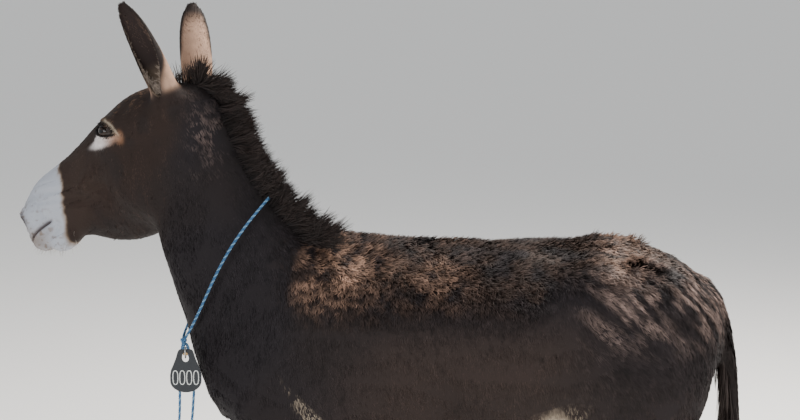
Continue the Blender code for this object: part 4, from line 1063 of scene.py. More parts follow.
def reworked(made, change):
    """The object, after a change to its mesh as a bmesh, with its faces pointing out."""
    work = bmesh.new()
    work.from_mesh(made.data)
    change(work)
    bmesh.ops.recalc_face_normals(work, faces=work.faces)
    work.to_mesh(made.data)
    work.free()
    return made


def lay_out(mesh, uv):
    """Writes the map of the unwrap, as the uv layer OFBake."""
    layer = mesh.uv_layers.new(name="OFBake")
    layer.uv.foreach_set("vector", uv.astype(np.float32).ravel())


def paint(mesh, tint):
    """Writes the tint that the materials read."""
    layer = mesh.color_attributes.new("tint", "FLOAT_COLOR", "POINT")
    layer.data.foreach_set("color", np.column_stack([tint, np.ones(len(tint))]).astype(np.float32).ravel())


def places_of(mesh):
    """The vertices, in the body's own frame."""
    found = np.empty(len(mesh.vertices) * 3, np.float32)
    mesh.vertices.foreach_get("co", found)
    return found.reshape(-1, 3).astype(float) - ORIGIN


def triangles_of(mesh):
    mesh.calc_loop_triangles()
    found = np.empty(len(mesh.loop_triangles) * 3, np.int32)
    mesh.loop_triangles.foreach_get("vertices", found)
    return found.reshape(-1, 3)


# ---------------------------------------------------------------- the skin
def build_skin():
    """The skin as one closed mesh, finest on the head. Also its vertices, normals and triangles."""
    lines = [graded(-1.17, [(-0.60, FINE), (0.68, COARSE)]),
             graded(-0.30, [(-0.02, COARSE), (0.42, FINE)]),
             graded(0.02, [(1.03, COARSE), (1.72, FINE)])]
    vertices, quads = surface_net(skin_field, lines)
    look = material("skin", 0.72, Specular_IOR_Level=0.14)
    add_bump(look, 0.0016, 0.5, 0.0008, (1, 1, 0.35))
    skin = mesh_of("skin", vertices, quads, look)
    keep = skin.vertex_groups.new(name="plain")
    plain = 1 - 0.75 * head_share(vertices)
    levels = np.round(plain * 8) / 8
    for level in np.unique(levels):
        keep.add(np.nonzero(levels == level)[0].tolist(), float(level), "REPLACE")
    thin = skin.modifiers.new("thin", "DECIMATE")
    thin.ratio = min(1.0, SKIN_FACES / (2 * len(quads)))
    thin.vertex_group = "plain"
    thin.use_collapse_triangulate = True
    graph = bpy.context.evaluated_depsgraph_get()
    mesh = bpy.data.meshes.new_from_object(skin.evaluated_get(graph))
    skin.modifiers.clear()
    skin.data = mesh
    skin.vertex_groups.clear()
    largest_only(mesh)
    p = places_of(mesh)
    normals = slope_of(p)
    paint(mesh, markings(p, normals)[0])
    triangles = triangles_of(mesh)
    corner = triangles.reshape(-1)
    ids, middle_s, _ = charts(p[triangles].mean(1))
    ids = np.repeat(ids, 3)
    _, s, t = charts(p[corner], ids)
    middle_s = np.repeat(middle_s, 3)
    s = s + np.round(middle_s - s)
    lay_out(mesh, laid_out(ids, s, t))
    mesh.normals_split_custom_set_from_vertices(normals.astype(np.float32))
    return skin, p, normals, triangles


def largest_only(mesh):
    """Keeps the one closed surface, and drops any crumb inside it."""
    work = bmesh.new()
    work.from_mesh(mesh)
    left, best = set(work.verts), []
    while left:
        group, queue = [], [left.pop()]
        while queue:
            here = queue.pop()
            group.append(here)
            for edge in here.link_edges:
                there = edge.other_vert(here)
                if there in left:
                    left.remove(there)
                    queue.append(there)
        if len(group) > len(best):
            best = group
    best = set(best)
    bmesh.ops.delete(work, geom=[v for v in work.verts if v not in best], context="VERTS")
    bmesh.ops.triangulate(work, faces=work.faces)
    work.to_mesh(mesh)
    work.free()


# ---------------------------------------------------------------- tufts
class Tufts:
    """Many thin pointed blades, each from a root on the skin. Every field has one row per tuft."""

    def __init__(self, root, normal, way, length, width, root_tint, tip_tint, rng):
        count = len(root)
        self.root, self.normal, self.way = root, normal, way
        self.length = np.broadcast_to(length, count) * rng.uniform(0.75, 1.2, count)
        self.width = np.broadcast_to(width, count) * rng.uniform(0.8, 1.2, count)
        self.root_tint, self.tip_tint = root_tint, tip_tint
        self.lift = np.full(count, 0.25)
        self.drop = np.full(count, 0.15)
        self.sway = rng.normal(0, 0.10, count)
        self.curl = np.zeros(count)
        self.roll = rng.normal(0, 0.35, count)
        self.phase = rng.uniform(0, 2 * math.pi, count)
        self.pull = np.zeros((count, 3))

    def built(self, name, look, rings, softness=0.7):
        """The mesh, with rings cross-sections before each tip."""
        count = len(self.root)
        aside = np.cross(self.normal, self.way)
        up = self.normal
        across = aside * np.cos(self.roll)[:, None] + up * np.sin(self.roll)[:, None]
        start = self.way * np.cos(self.lift)[:, None] + up * np.sin(self.lift)[:, None]
        sink = 0.0002 + 0.05 * self.length[:, None]
        places, tints, normals = [], [], []
        for ring in range(rings + 1):
            t = ring / rings
            bend = (start * t - up * (self.drop * t * t)[:, None] + aside * (self.sway * t * t)[:, None])
            wave = self.curl * t
            bend += aside * (wave * np.sin(self.phase + 5.0 * t))[:, None]
            bend += up * (0.5 * wave * np.cos(self.phase + 5.0 * t))[:, None]
            centre = self.root - up * sink + bend * self.length[:, None] + self.pull * t**1.5
            tint = self.root_tint + (self.tip_tint - self.root_tint) * t**0.8
            if ring == rings:
                places.append(centre[:, None])
                tints.append(tint[:, None])
                normals.append((up * softness + start * 0.2)[:, None])
                continue
            half = self.width[:, None] * 0.5 * (1 - 0.25 * t - 0.35 * t * t)
            places.append(np.stack([centre - across * half, centre + across * half], 1))
            tints.append(np.stack([tint, tint], 1))
            tilt = across * (1 - softness) * 1.2
            base = up * softness + np.cross(start, across) * (1 - softness) * 0.5
            normals.append(np.stack([base - tilt, base + tilt], 1))
        each = 2 * rings + 1
        places = np.concatenate(places, 1).reshape(-1, 3)
        tints = np.concatenate(tints, 1).reshape(-1, 3)
        normals = np.concatenate(normals, 1).reshape(-1, 3)
        pattern = []
        for ring in range(rings - 1):
            a = 2 * ring
            pattern += [(a, a + 3, a + 1), (a, a + 2, a + 3)]
        pattern.append((2 * rings - 1, 2 * rings - 2, 2 * rings))
        pattern = np.array(pattern)
        faces = (np.arange(count)[:, None, None] * each + pattern[None]).reshape(-1, 3)
        ids, s, t = charts(self.root)
        spot = laid_out(ids, s, t)
        local = np.array([((i % 2) - 0.5 if i < 2 * rings else 0.0, (i // 2) / rings - 0.5)
                          for i in range(each)]) * 0.003
        uv = (spot[:, None] + local[None]).reshape(-1, 2)[faces.ravel()]
        return mesh_of(name, places, faces, look, tints, normals, np.clip(uv, 0, 1))


def scattered(p, normals, triangles, density, rng):
    """Random points on the skin, with so many per square metre at each triangle."""
    corner = p[triangles]
    area = 0.5 * np.linalg.norm(np.cross(corner[:, 1] - corner[:, 0], corner[:, 2] - corner[:, 0]), axis=1)
    wanted = area * density * DENSITY
    count = np.floor(wanted + rng.uniform(0, 1, len(wanted))).astype(int)
    pick = np.repeat(np.arange(len(triangles)), count)
    a, b = rng.uniform(0, 1, (2, len(pick)))
    flip = a + b > 1
    a[flip], b[flip] = 1 - a[flip], 1 - b[flip]
    weights = np.stack([1 - a - b, a, b], 1)[:, :, None]
    return (p[triangles[pick]] * weights).sum(1), unit((normals[triangles[pick]] * weights).sum(1))


def clumped(root, lock_of, strength, rng):
    """For each root, the shift that draws its tip towards the middle of its lock, and the lock's
    number. There are about lock_of tufts to a lock."""
    seeds = root[rng.permutation(len(root))[:max(1, int(len(root) / lock_of))]]
    tree = KDTree(len(seeds))
    for i, place in enumerate(seeds):
        tree.insert(place, i)
    tree.balance()
    nearest = np.array([tree.find(place)[1] for place in root])
    return (seeds[nearest] - root) * strength, nearest


COAT_LOCK = 9   # tufts in one lock of the coat
HAIR = material("coat_hair", 0.60, Specular_IOR_Level=0.14)
LONG_HAIR = material("long_hair", 0.50, Specular_IOR_Level=0.22)


def coat_region(p):
    """The name of the piece that each tuft belongs to."""
    side = np.where(p[:, 1] < 0, "left", "right")
    head = head_share(p) > 0.5
    ears = (EARS[1].near(p, 0.0) | EARS[-1].near(p, 0.0)) & (p[:, 2] > 1.47)
    head_side = np.where(head_place(p)[:, 1] > 0, "left", "right")
    part = np.full(len(p), "flank", dtype="U12")
    part[p[:, 0] < -0.30] = "shoulder"
    part[p[:, 0] > 0.24] = "rump"
    part[(p[:, 2] > 1.0) & (p[:, 0] > -0.50)] = "back"
    part[p[:, 2] < 0.62] = "legs"
    part[past_withers(p)] = "neck"
    part[head | ears] = "face"
    return np.char.add(np.char.add(part, "_"), np.where(head | ears, head_side, side))


def tuft_density(p):
    """Tufts to the square metre."""
    head = head_share(p)
    density = 105000 + 25000 * croup_share(p) + 15000 * wool_share(p)
    density = density + 60000 * ramp(p[:, 2], 0.55, 0.45)
    return density * (1 - head) + 190000 * head


def build_coat(p, normals, triangles):
    """Short tufts all over the skin above the hooves, in pieces by region."""
    rng = np.random.default_rng(SEEDS["coat"])
    middle = p[triangles].mean(1)
    haired = middle[:, 2] > HOOF_TOP - 0.006
    root, normal = scattered(p, normals, triangles[haired], tuft_density(middle[haired]), rng)
    way = lie(root, normal)
    keep = clear_of_eyes(root)
    root, normal, way = root[keep], normal[keep], way[keep]
    base, tip = markings(root, normal)
    head, wool, croup = head_share(root), wool_share(root), croup_share(root)
    u = head_place(root)[:, 0]
    ear = on_ears(root)
    legs = ramp(root[:, 2], 0.62, 0.45)
    length = 0.0155 + 0.003 * croup + 0.010 * wool - 0.0065 * legs
    length = length * (1 - head) + (0.0095 - 0.0050 * ramp(u, 0.34, 0.40)) * head
    length = length * (1 - 0.35 * ear)
    length += 0.007 * ramp(root[:, 2], 0.084, 0.068)
    length += 0.013 * legs * bump(root[:, 2], 0.150, 0.022) * ramp(normal[:, 0], 0.35, 0.8)
    width = (0.0024 + 0.0010 * wool - 0.0006 * legs) * (1 - head)
    width += (0.0016 - 0.0004 * ramp(u, 0.34, 0.40)) * head
    tufts = Tufts(root, normal, way, length, width, base, tip, rng)
    tufts.lift = (0.17 + 0.50 * wool * (1 - 0.4 * croup) + 0.12 * croup - 0.05 * head
                  + rng.normal(0, 0.06, len(root)))
    tufts.drop = 0.10 + 0.12 * wool
    tufts.curl = 0.16 * wool
    tufts.sway = tufts.sway * (1 + 1.2 * wool)
    shift, lock = clumped(root, COAT_LOCK, 1.0, rng)
    pull = 0.25 + 0.45 * wool * (1 - 0.9 * croup) + 0.20 * croup
    tufts.pull = shift * (pull * (1 - head))[:, None]
    lock_shade = rng.normal(0, 1, lock.max() + 1)[lock]
    spread = (0.09 + 0.20 * np.maximum(wool, 0.6 * croup)) * (1 - head)
    shade = np.clip(1 + spread * lock_shade + rng.normal(0, 0.11, len(root)), 0.4, 1.8)[:, None]
    # painted shade at the tufts' roots, deepest in the wool and on the croup
    dark = (0.96 - 0.46 * wool * (1 - 0.5 * croup) - 0.2 * croup)[:, None]
    tufts.root_tint, tufts.tip_tint = base * shade * dark, tip * shade
    names = coat_region(root)
    pieces = []
    for name in np.unique(names):
        pick = np.nonzero(names == name)[0]
        rings = 3 if name.startswith("back") else 2
        most = PIECE_TRIANGLES // (2 * rings - 1)
        for part in range(0, len(pick), most):
            label = "coat_" + name + ("" if len(pick) <= most else "_%d" % (part // most + 1))
            pieces.append(subset(tufts, pick[part:part + most]).built(label, HAIR, rings))
    return pieces


def subset(tufts, pick):
    """The same tufts, only those picked."""
    part = Tufts.__new__(Tufts)
    for key, value in vars(tufts).items():
        setattr(part, key, value[pick])
    return part


def on_ears(p):
    """1 on the ears, 0 elsewhere."""
    found = np.zeros(len(p))
    for ear in EARS.values():
        near = ear.near(p, 0.0)
        share = ear.local(p[near])[0]
        found[near] = np.maximum(found[near], ramp(share, 0.02, 0.10) * (ear.distance(p[near]) < 0.01))
    return found


def clear_of_eyes(p):
    """False on the bare rims of the lids and inside the nostrils."""
    keep = np.ones(len(p), bool)
    for side in (1, -1):
        centre, along, up, out = eye_frame(side)
        a, b, c = ((p - centre) @ np.stack([along, up, out]).T).T
        keep &= ~((np.hypot(a * 0.66, (b - 0.003) * 1.20) < 0.0190) & (c > 0.0))
    u, l, n = head_place(p).T
    nostril = (np.hypot(u - 0.506, (n + 0.046) * 0.9) < 0.017) & (np.abs(l) > 0.024)
    return keep & ~nostril


# ---------------------------------------------------------------- long hair
def mane_hair():
    """Stiff upright hair from between the ears and down the crest of the neck, in spiky locks."""
    rng = np.random.default_rng(SEEDS["mane"])
    count = int(15000 * LONG_DENSITY)
    crest = NECK_SWEEP.centre + NECK_SWEEP.over * NECK_SWEEP.size[:, 1:2]
    poll = [on_head(place) for place in ((0.030, 0, 0.005), (-0.015, 0, -0.005), (-0.060, 0, -0.030))]
    line = even_points(np.concatenate([poll, crest[:9:-1]]), 0.004)
    along = unit(np.gradient(line, axis=0))
    side = unit(HEAD_AXES[1] + np.array((0.0, -0.6, 0.0)))
    place = rng.uniform(0, 1, count) * (len(line) - 1)
    share = place / (len(line) - 1)
    at = place.astype(int)
    offset = rng.normal(0, 0.008, count)
    place = line[at] + along[at] * rng.uniform(0, 0.004, (count, 1)) + side * offset[:, None]
    root, normal = onto_skin(place)
    over = unit(np.cross(along[at], side))
    over *= np.sign(dots(over, normal))[:, None]
    lean = 0.22 - 0.75 * ramp(share, 0.10, 0.02) + 0.35 * ramp(share, 0.78, 1.0)
    stand = over + along[at] * (lean + rng.normal(0, 0.12, count))[:, None]
    stand = unit(stand + side * (offset * 9 + rng.normal(0, 0.12, count))[:, None])
    facing = side * np.sign(offset)[:, None] + rng.normal(0, 0.35, (count, 3))
    length = 0.058 - 0.006 * ramp(share, 0.12, 0.35) + 0.016 * ramp(share, 0.80, 0.95)
    length *= 1 - ramp(share, 0.16, 0.10) * rng.uniform(0.0, 0.55, count)
    keep = rng.uniform(0, 1, count) < 0.06 + 0.94 * ramp(share, 0.14, 0.18)
    return long_tufts("mane_hair", root[keep], facing[keep], stand[keep], length[keep], 0.0020, rng,
                      lock_of=30, strength=0.75, rings=4)


def long_tufts(name, root, facing, stand, length, width, rng, lock_of, strength, rings,
               shades=(MANE_ROOT, MANE_TIP), spread=0.17):
    """Long blades that stand along their own way, with broad sides towards facing, in spikes."""
    count = len(root)
    normal = unit(facing - stand * dots(facing, stand)[:, None])
    tufts = Tufts(root, normal, stand, length, width, *(tinted(root, shade) for shade in shades), rng)
    tufts.lift = rng.normal(0, 0.6 * spread, count)
    tufts.drop = rng.normal(0.0, 0.35 * spread, count)
    tufts.sway *= 6 * spread
    shift, lock = clumped(root, lock_of, strength, rng)
    lean = rng.normal(0, spread, (lock.max() + 1, 3))[lock] * tufts.length[:, None]
    tufts.pull = shift + lean
    shade = 1 + 0.22 * rng.normal(0, 1, lock.max() + 1)[lock]
    shade = np.clip(shade + rng.normal(0, 0.12, count), 0.4, 1.8)
    tufts.root_tint *= shade[:, None]
    tufts.tip_tint *= shade[:, None]
    return tufts.built(name, LONG_HAIR, rings, 0.45)


def ear_fringe():
    """Light hair at the edges of the ears' openings, longest low down."""
    rng = np.random.default_rng(SEEDS["ears"])
    roots, normals, ways, lengths = [], [], [], []
    for side, ear in EARS.items():
        for edge in (-1, 1):
            count = int((420 if edge * side > 0 else 180) * LONG_DENSITY)
            share = rng.beta(1.1, 2.4, count) * 0.92 + 0.04
            width, depth, wrap = read(ear.rows, share)
            width, depth = width - EAR_WALL / 2, depth - EAR_WALL / 2
            angle = edge * (np.radians(wrap) - np.abs(rng.normal(0, 0.16, count)))
            middle = (ear.base + ear.axis * EAR_LENGTH * share[:, None]
                      + ear.opening * ear.curve * (share**2)[:, None])
            place = (middle + ear.across * (np.sin(angle) * width)[:, None]
                     - ear.opening * (np.cos(angle) * depth)[:, None])
            inward = unit(middle - place)
            roots.append(place + inward * 0.0015)
            normals.append(np.tile(ear.opening, (count, 1)))
            ways.append(unit(ear.axis * 0.75 + inward * 0.55 + ear.opening * 0.25
                             + rng.normal(0, 0.28, (count, 3))))
            lengths.append(0.005 + 0.018 * ramp(share, 0.45, 0.08))
    root, normal, way = np.concatenate(roots), np.concatenate(normals), np.concatenate(ways)
    return long_tufts("ear_fringe", root, normal, way, np.concatenate(lengths), 0.0011, rng,
                      lock_of=6, strength=0.5, rings=3, shades=FRINGE)


def tail_hair():
    """The switch: long dark hair from the dock."""
    rng = np.random.default_rng(SEEDS["tail"])
    count = int(4200 * LONG_DENSITY)
    rows = resample(DOCK, 60)[::-1]
    height = rng.uniform(0.525, 0.935, count)
    centre = np.stack([np.interp(height, rows[:, 2], rows[:, i]) for i in (0, 1)] + [height], 1)
    radius = np.interp(height, rows[:, 2], rows[:, 3]) * 0.9
    angle = rng.uniform(0, 2 * math.pi, count)
    out = np.stack([np.cos(angle), np.sin(angle), np.zeros(count)], 1)
    root = centre + out * radius[:, None]
    end = 0.315 + 0.16 * rng.uniform(0, 1, count) ** 2
    length = np.clip(height - end, 0.05, 0.32 - 0.2 * ramp(height, 0.80, 0.93))
    way = unit(np.array((0.03, 0.0, -1.0)) + out * rng.uniform(-0.03, 0.045, count)[:, None])
    return long_tufts("tail_hair", root, out, way, length, 0.0036, rng,
                      lock_of=34, strength=0.55, rings=6, spread=0.035)


def lashes():
    """Dark lashes along the upper lids."""
    rng = np.random.default_rng(SEEDS["lashes"])
    root, way, normal = [], [], []
    radius = EYE_RADIUS * HEAD_SCALE + 0.003
    for side in (1, -1):
        centre, along, up, out = eye_frame(side)
        for a in np.linspace(-0.015, 0.020, 46):
            arc = 0.0135 * (1 - ((a - 0.003) / 0.0250) ** 2)
            for row in range(2):
                b = arc + 0.0012 * row + rng.normal(0, 0.0004)
                depth = math.sqrt(max(radius**2 - a * a - b * b, 1e-6))
                root.append(centre + along * a + up * b + out * depth)
                fan = along * (a * 14 + rng.normal(0, 0.08))
                way.append(unit(out * 0.85 - up * (0.30 + 0.2 * row) + fan))
                normal.append(up)
    return long_tufts("lashes", np.array(root), np.array(normal), np.array(way), 0.0085, 0.0009, rng,
                      lock_of=3, strength=0.3, rings=3, shades=LASH)


def whiskers():
    """Sparse stiff hairs on the lips and chin."""
    rng = np.random.default_rng(SEEDS["whiskers"])
    count = 130
    u = rng.uniform(0.43, 0.51, count)
    l = rng.uniform(-0.04, 0.04, count)
    n = rng.uniform(-0.14, -0.09, count)
    places = HEAD_AT + HEAD_SCALE * np.stack([u, l, n], 1) @ HEAD_AXES
    places += unit(places - on_head((0.44, 0, -0.085))) * 0.05
    root, normal = onto_skin(places, 8)
    way = unit(normal + 0.4 * HEAD_AXES[0] + rng.normal(0, 0.15, (count, 3)))
    return long_tufts("whiskers", root, normal, way, 0.016, 0.0006, rng,
                      lock_of=2, strength=0.0, rings=3, shades=WHISKER)


# ---------------------------------------------------------------- eyes and hooves
# Half sizes of the level pupil and of the iris, as shares of the eye's radius.
PUPIL, IRIS_EDGE = (0.30, 0.17), 0.62
EYE_BLACK, EYE_BROWN = colour(5, 5, 8), colour(44, 27, 17)
EYE_RIM, EYE_WHITE = colour(38, 29, 25), colour(120, 104, 96)


def eyeball(name, side):
    """A ball with a bulging cornea. Its tint shows the pupil, iris and white."""
    centre, along, up, out = eye_frame(side)
    radius = EYE_RADIUS * HEAD_SCALE
    turns, rings = 64, 48
    vertices, tints = [], []
    for ring in range(rings + 1):
        angle = math.pi * (ring / rings) ** 1.25
        bulge = 1 + 0.055 * math.exp(-(angle / 0.52) ** 4)
        for about in circle(turns):
            a, b = math.sin(angle) * math.cos(about), math.sin(angle) * math.sin(about)
            vertices.append(centre + radius * bulge * (along * a + up * b + out * math.cos(angle)))
            iris = math.hypot(a, b)
            streak = 0.8 + 0.2 * math.sin(about * 23) * math.sin(about * 9 + 1)
            if (a / PUPIL[0]) ** 2 + (b / PUPIL[1]) ** 2 < 1:
                tint = EYE_BLACK
            elif iris < IRIS_EDGE:
                tint = EYE_BROWN * streak * (1.2 - 0.5 * iris)
            else:
                tint = EYE_RIM + (EYE_WHITE - EYE_RIM) * min(1, (iris - IRIS_EDGE) * 1.2)
            tints.append(tint)
    look = material("eye_surface", 0.25, Specular_IOR_Level=0.05, Coat_Weight=0.7, Coat_Roughness=0.02)
    made = mesh_of(name, np.array(vertices), tube_faces(rings + 1, turns, flip=True), look, np.array(tints))
    return reworked(made, lambda work: bmesh.ops.remove_doubles(work, verts=work.verts, dist=1e-5))


# Hoof rings, top to bottom: share of the height, forward shift, half width, front and back half length.
HOOF = [(1.04, 0.001, 0.0240, 0.027, 0.025), (1.0, 0.000, 0.0275, 0.031, 0.029),
        (0.94, -0.002, 0.0292, 0.0330, 0.0298), (0.06, -0.022, 0.0405, 0.046, 0.036),
        (0.0, -0.022, 0.0390, 0.0445, 0.0345)]


def hoof_wall(name, leg):
    """A hoof with growth rings, a soft coronet above and a flat sole."""
    x, y, *_ = leg_rows(leg)[-1]
    turns, rows = 56, 30
    heights = np.concatenate([np.linspace(1.04, 0.94, 6), np.linspace(0.92, 0.06, rows - 8), [0.02, 0.0]])
    table = np.array(HOOF)[::-1]
    vertices, tints = [], []
    for height in heights:
        shift, half, toe, heel = read(table, height)
        wave = 0.00045 * math.sin(height * 46) * ramp(height, 0.95, 0.85) * ramp(height, 0.05, 0.12)
        for turn, angle in enumerate(circle(turns)):
            reach = toe if math.cos(angle) > 0 else heel
            cleft = 0.006 * math.exp(-((angle - math.pi) / 0.22) ** 2) * (1 - 0.4 * height)
            vertices.append((x + shift - math.cos(angle) * (reach + wave - cleft),
                             y + math.sin(angle) * (half + wave), height * (HOOF_TOP - 0.0003)))
            streak = 0.5 + 0.5 * math.sin(turn * 2.7) * math.sin(turn * 1.1 + 2)
            band = 0.18 * math.sin(height * 23 + 1) + 0.10 * math.sin(height * 51)
            share = 0.2 + band + 0.45 * streak * (1 - height)
            tints.append(HOOF_DARK + (HOOF_PALE - HOOF_DARK) * share)
    look = add_bump(material("horn", 0.62, Specular_IOR_Level=0.25), 0.0022, 0.5, 0.0008, (1, 1, 0.15))
    made = mesh_of(name, np.array(vertices), tube_faces(len(heights), turns), look, np.array(tints))
    return reworked(made, close_ends)


def open_edges(work):
    return [edge for edge in work.edges if edge.is_boundary]


def close_ends(work):
    """Fills the sole and then the top with flat faces."""
    for low in (True, False):
        edges = [edge for edge in open_edges(work) if (edge.verts[0].co.z < HOOF_TOP / 2) == low]
        for face in bmesh.ops.holes_fill(work, edges=edges)["faces"]:
            face.smooth = False


# ---------------------------------------------------------------- rope, clip and tag
def even_points(points, spacing):
    """The same open line, read at even steps of about the spacing."""
    points = np.asarray(points, float)
    run = np.concatenate([[0], np.cumsum(np.linalg.norm(np.diff(points, axis=0), axis=1))])
    at = np.linspace(0, run[-1], max(2, round(run[-1] / spacing)) + 1)
    return np.stack([np.interp(at, run, points[:, i]) for i in range(3)], 1)


def convex_hull(points):
    """The hull's corners in order, from points of a plane."""
    points = sorted((float(x), float(y)) for x, y in points)
    chains = []
    for ordered in (points, points[::-1]):
        chain = []
        for p in ordered:
            while len(chain) > 1:
                (ax, ay), (bx, by) = chain[-2], chain[-1]
                if (bx - ax) * (p[1] - ay) - (by - ay) * (p[0] - ax) > 0:
                    break
                chain.pop()
            chain.append(p)
        chains.append(chain[:-1])
    return chains[0] + chains[1]


def collar_route():
    """The collar's line: it lies on the coat of the neck, and hangs off it to the knot."""
    crest, knot = np.asarray(COLLAR_CREST), np.asarray(KNOT_AT)
    middle = (crest + knot) / 2
    down = unit(knot - crest)
    aside = unit(np.cross(np.cross(down, (0.0, 1.0, 0.0)), down))
    flat = []
    for angle in circle(72):
        ray = math.cos(angle) * down + math.sin(angle) * aside
        reach = np.linspace(0.02, 0.40, 400)
        outside = field(FLESH, middle + reach[:, None] * ray) > ROPE_RADIUS + COAT_CLEAR
        flat.append(reach[outside.argmax()] * np.array([math.cos(angle), math.sin(angle)]))
    flat.append(np.array([np.linalg.norm(knot - middle), 0.0]))
    ring = convex_hull(flat)
    start = max(range(len(ring)), key=lambda i: ring[i][0])
    ring = ring[start:] + ring[:start + 1]
    line = np.array([middle + point[0] * down + point[1] * aside for point in ring])
    line = even_points(line, 0.024)
    share = np.linspace(0, 1, len(line))
    bow = unit(np.cross(aside, down))
    line += np.outer(COLLAR_BOW * np.sin(2 * math.pi * share) ** 2, bow)
    for _ in range(3):
        close = ROPE_RADIUS + COAT_CLEAR - field(FLESH, line)
        nudge = np.maximum(close, 0.0)[:, None] * unit(line - middle)
        nudge[[0, -1]] = 0.0
        line += nudge
    return line


def smooth_line(points, spacing):
    """An even line through given points, rounded at each."""
    rows = np.column_stack([points, np.zeros((len(points), 2))])
    return even_points(resample(rows, 16 * len(points))[:, :3], spacing)


def twisted(name, line, radius, look, pitch):
    """A rope: strands wound round the line, one turn to each pitch."""
    line = np.asarray(line, float)
    along = unit(np.gradient(line, axis=0))
    side = np.zeros_like(line)
    side[0] = unit(np.cross(along[0], (0.3, 0.2, 1.0)))
    for i in range(1, len(line)):
        side[i] = unit(side[i - 1] - along[i] * (side[i - 1] @ along[i]))
    other = np.cross(along, side)
    run = np.concatenate([[0], np.cumsum(np.linalg.norm(np.diff(line, axis=0), axis=1))])
    strands, around, thick = 3, 8, radius * 0.54
    vertices, faces, tints = [], [], []
    for strand in range(strands):
        first = len(vertices)
        for i, place in enumerate(line):
            turn = 2 * math.pi * (run[i] / pitch + strand / strands)
            centre = place + (side[i] * math.cos(turn) + other[i] * math.sin(turn)) * (radius - thick)
            for angle in circle(around):
                about = turn + angle
                vertices.append(centre + (side[i] * math.cos(about) + other[i] * math.sin(about)) * thick)
                fibre = 0.86 + 0.14 * math.sin(13 * about + run[i] * 900)
                tints.append((ROPE_BLUE if strand else ROPE_LIGHT) * fibre)
        faces += (tube_faces(len(line), around) + first).tolist()
        for end in (0, len(line) - 1):
            ring = [first + end * around + k for k in range(around)]
            ring = ring[::-1] if end == 0 else ring
            faces += [(ring[0], ring[k], ring[k + 1], ring[k + 1]) for k in range(1, around - 1)]
    faces = np.array(faces)
    return clean_object(mesh_of(name, np.array(vertices), faces, look, np.array(tints)))


def clean_object(made):
    """Drops doubled corners and sides, and points the faces out."""
    made.data.validate()
    reworked(made, lambda work: bmesh.ops.dissolve_degenerate(work, dist=1e-7, edges=work.edges))
    made.data.shade_smooth()
    return made


def knot_line():
    """A small overhand knot that fills the knot's ball, and its loop through the tag's clip."""
    turns = np.linspace(0, 2 * math.pi, 90, endpoint=False)
    shape = np.stack([np.sin(turns) + 2 * np.sin(2 * turns), -np.sin(3 * turns) * 1.2,
                      np.cos(turns) - 2 * np.cos(2 * turns)], 1) / 3.0
    line = np.asarray(KNOT_AT) + shape * (KNOT_SIZE - 0.0028)
    x, y, z = CLIP_AT
    loop = [line[0], (x - 0.006, y + 0.024, z + 0.013), (x - 0.004, y + 0.006, z + 0.007),
            (x + 0.001, y + 0.001, z + 0.004), (x + 0.005, y + 0.008, z + 0.005),
            (x + 0.003, y + 0.024, z + 0.009), line[0]]
    return np.concatenate([line, smooth_line(loop, 0.0015)])


def plate_outline():
    """The tag's edge, from its foot: a round bottom and shoulders that narrow to the top."""
    half, top = TAG_WIDTH / 2, TAG_HEIGHT
    outline = []
    for turn in range(17):
        angle = math.pi * (1 + turn / 16)
        outline.append((half * math.cos(angle), 0.026 + 0.026 * math.sin(angle)))
    outline += [(half, 0.040), (half * 0.93, 0.052), (half * 0.80, 0.062), (half * 0.62, 0.078),
                (half * 0.52, top - 0.008), (half * 0.46, top - 0.003), (half * 0.36, top)]
    outline += [(-a, b) for a, b in outline[:16:-1]]
    return outline


def tag_plate():
    """The tag: a rounded plate with bevelled edges and a slot in its narrow top."""
    work = bmesh.new()
    slot = [(TAG_SLOT[0] / 2 * math.cos(a), TAG_HEIGHT - 0.018 + TAG_SLOT[1] / 2 * math.sin(a))
            for a in circle(32)]
    loops = []
    for ring in (plate_outline(), slot):
        verts = [work.verts.new((a, 0.0, b)) for a, b in ring]
        loops += [work.edges.new((verts[i], verts[(i + 1) % len(verts)])) for i in range(len(verts))]
    bmesh.ops.triangle_fill(work, use_beauty=True, edges=loops)
    deep = bmesh.ops.extrude_face_region(work, geom=list(work.faces))
    bmesh.ops.translate(work, vec=(0, TAG_THICK, 0), verts=[v for v in deep["geom"]
                                                            if isinstance(v, bmesh.types.BMVert)])
    bmesh.ops.recalc_face_normals(work, faces=work.faces)
    work.verts.index_update()
    places = [tuple(vert.co) for vert in work.verts]
    corners = [[vert.index for vert in face.verts] for face in work.faces]
    work.free()
    # The fill's faces come in no fixed order: each starts at its first corner, and they are sorted.
    first = [ring.index(min(ring)) for ring in corners]
    faces = sorted(ring[i:] + ring[:i] for ring, i in zip(corners, first))
    mesh = bpy.data.meshes.new("tag_plate")
    mesh.from_pydata(places, [], faces)
    made = bpy.data.objects.new("tag_plate", mesh)
    bpy.context.scene.collection.objects.link(made)
    mesh.transform(Matrix.Translation(ORIGIN + np.array(TAG_AT)))
    paint(mesh, tinted(mesh.vertices, TAG_BLACK))
    mesh.materials.append(add_bump(material("tag_plastic", 0.42), 0.004, 0.25, 0.0005))
    bevel = made.modifiers.new("bevel", "BEVEL")
    bevel.width, bevel.segments = 0.0007, 2
    bevel.limit_method, bevel.angle_limit = "ANGLE", math.radians(50)
    made.modifiers.new("weighted", "WEIGHTED_NORMAL")
    return made


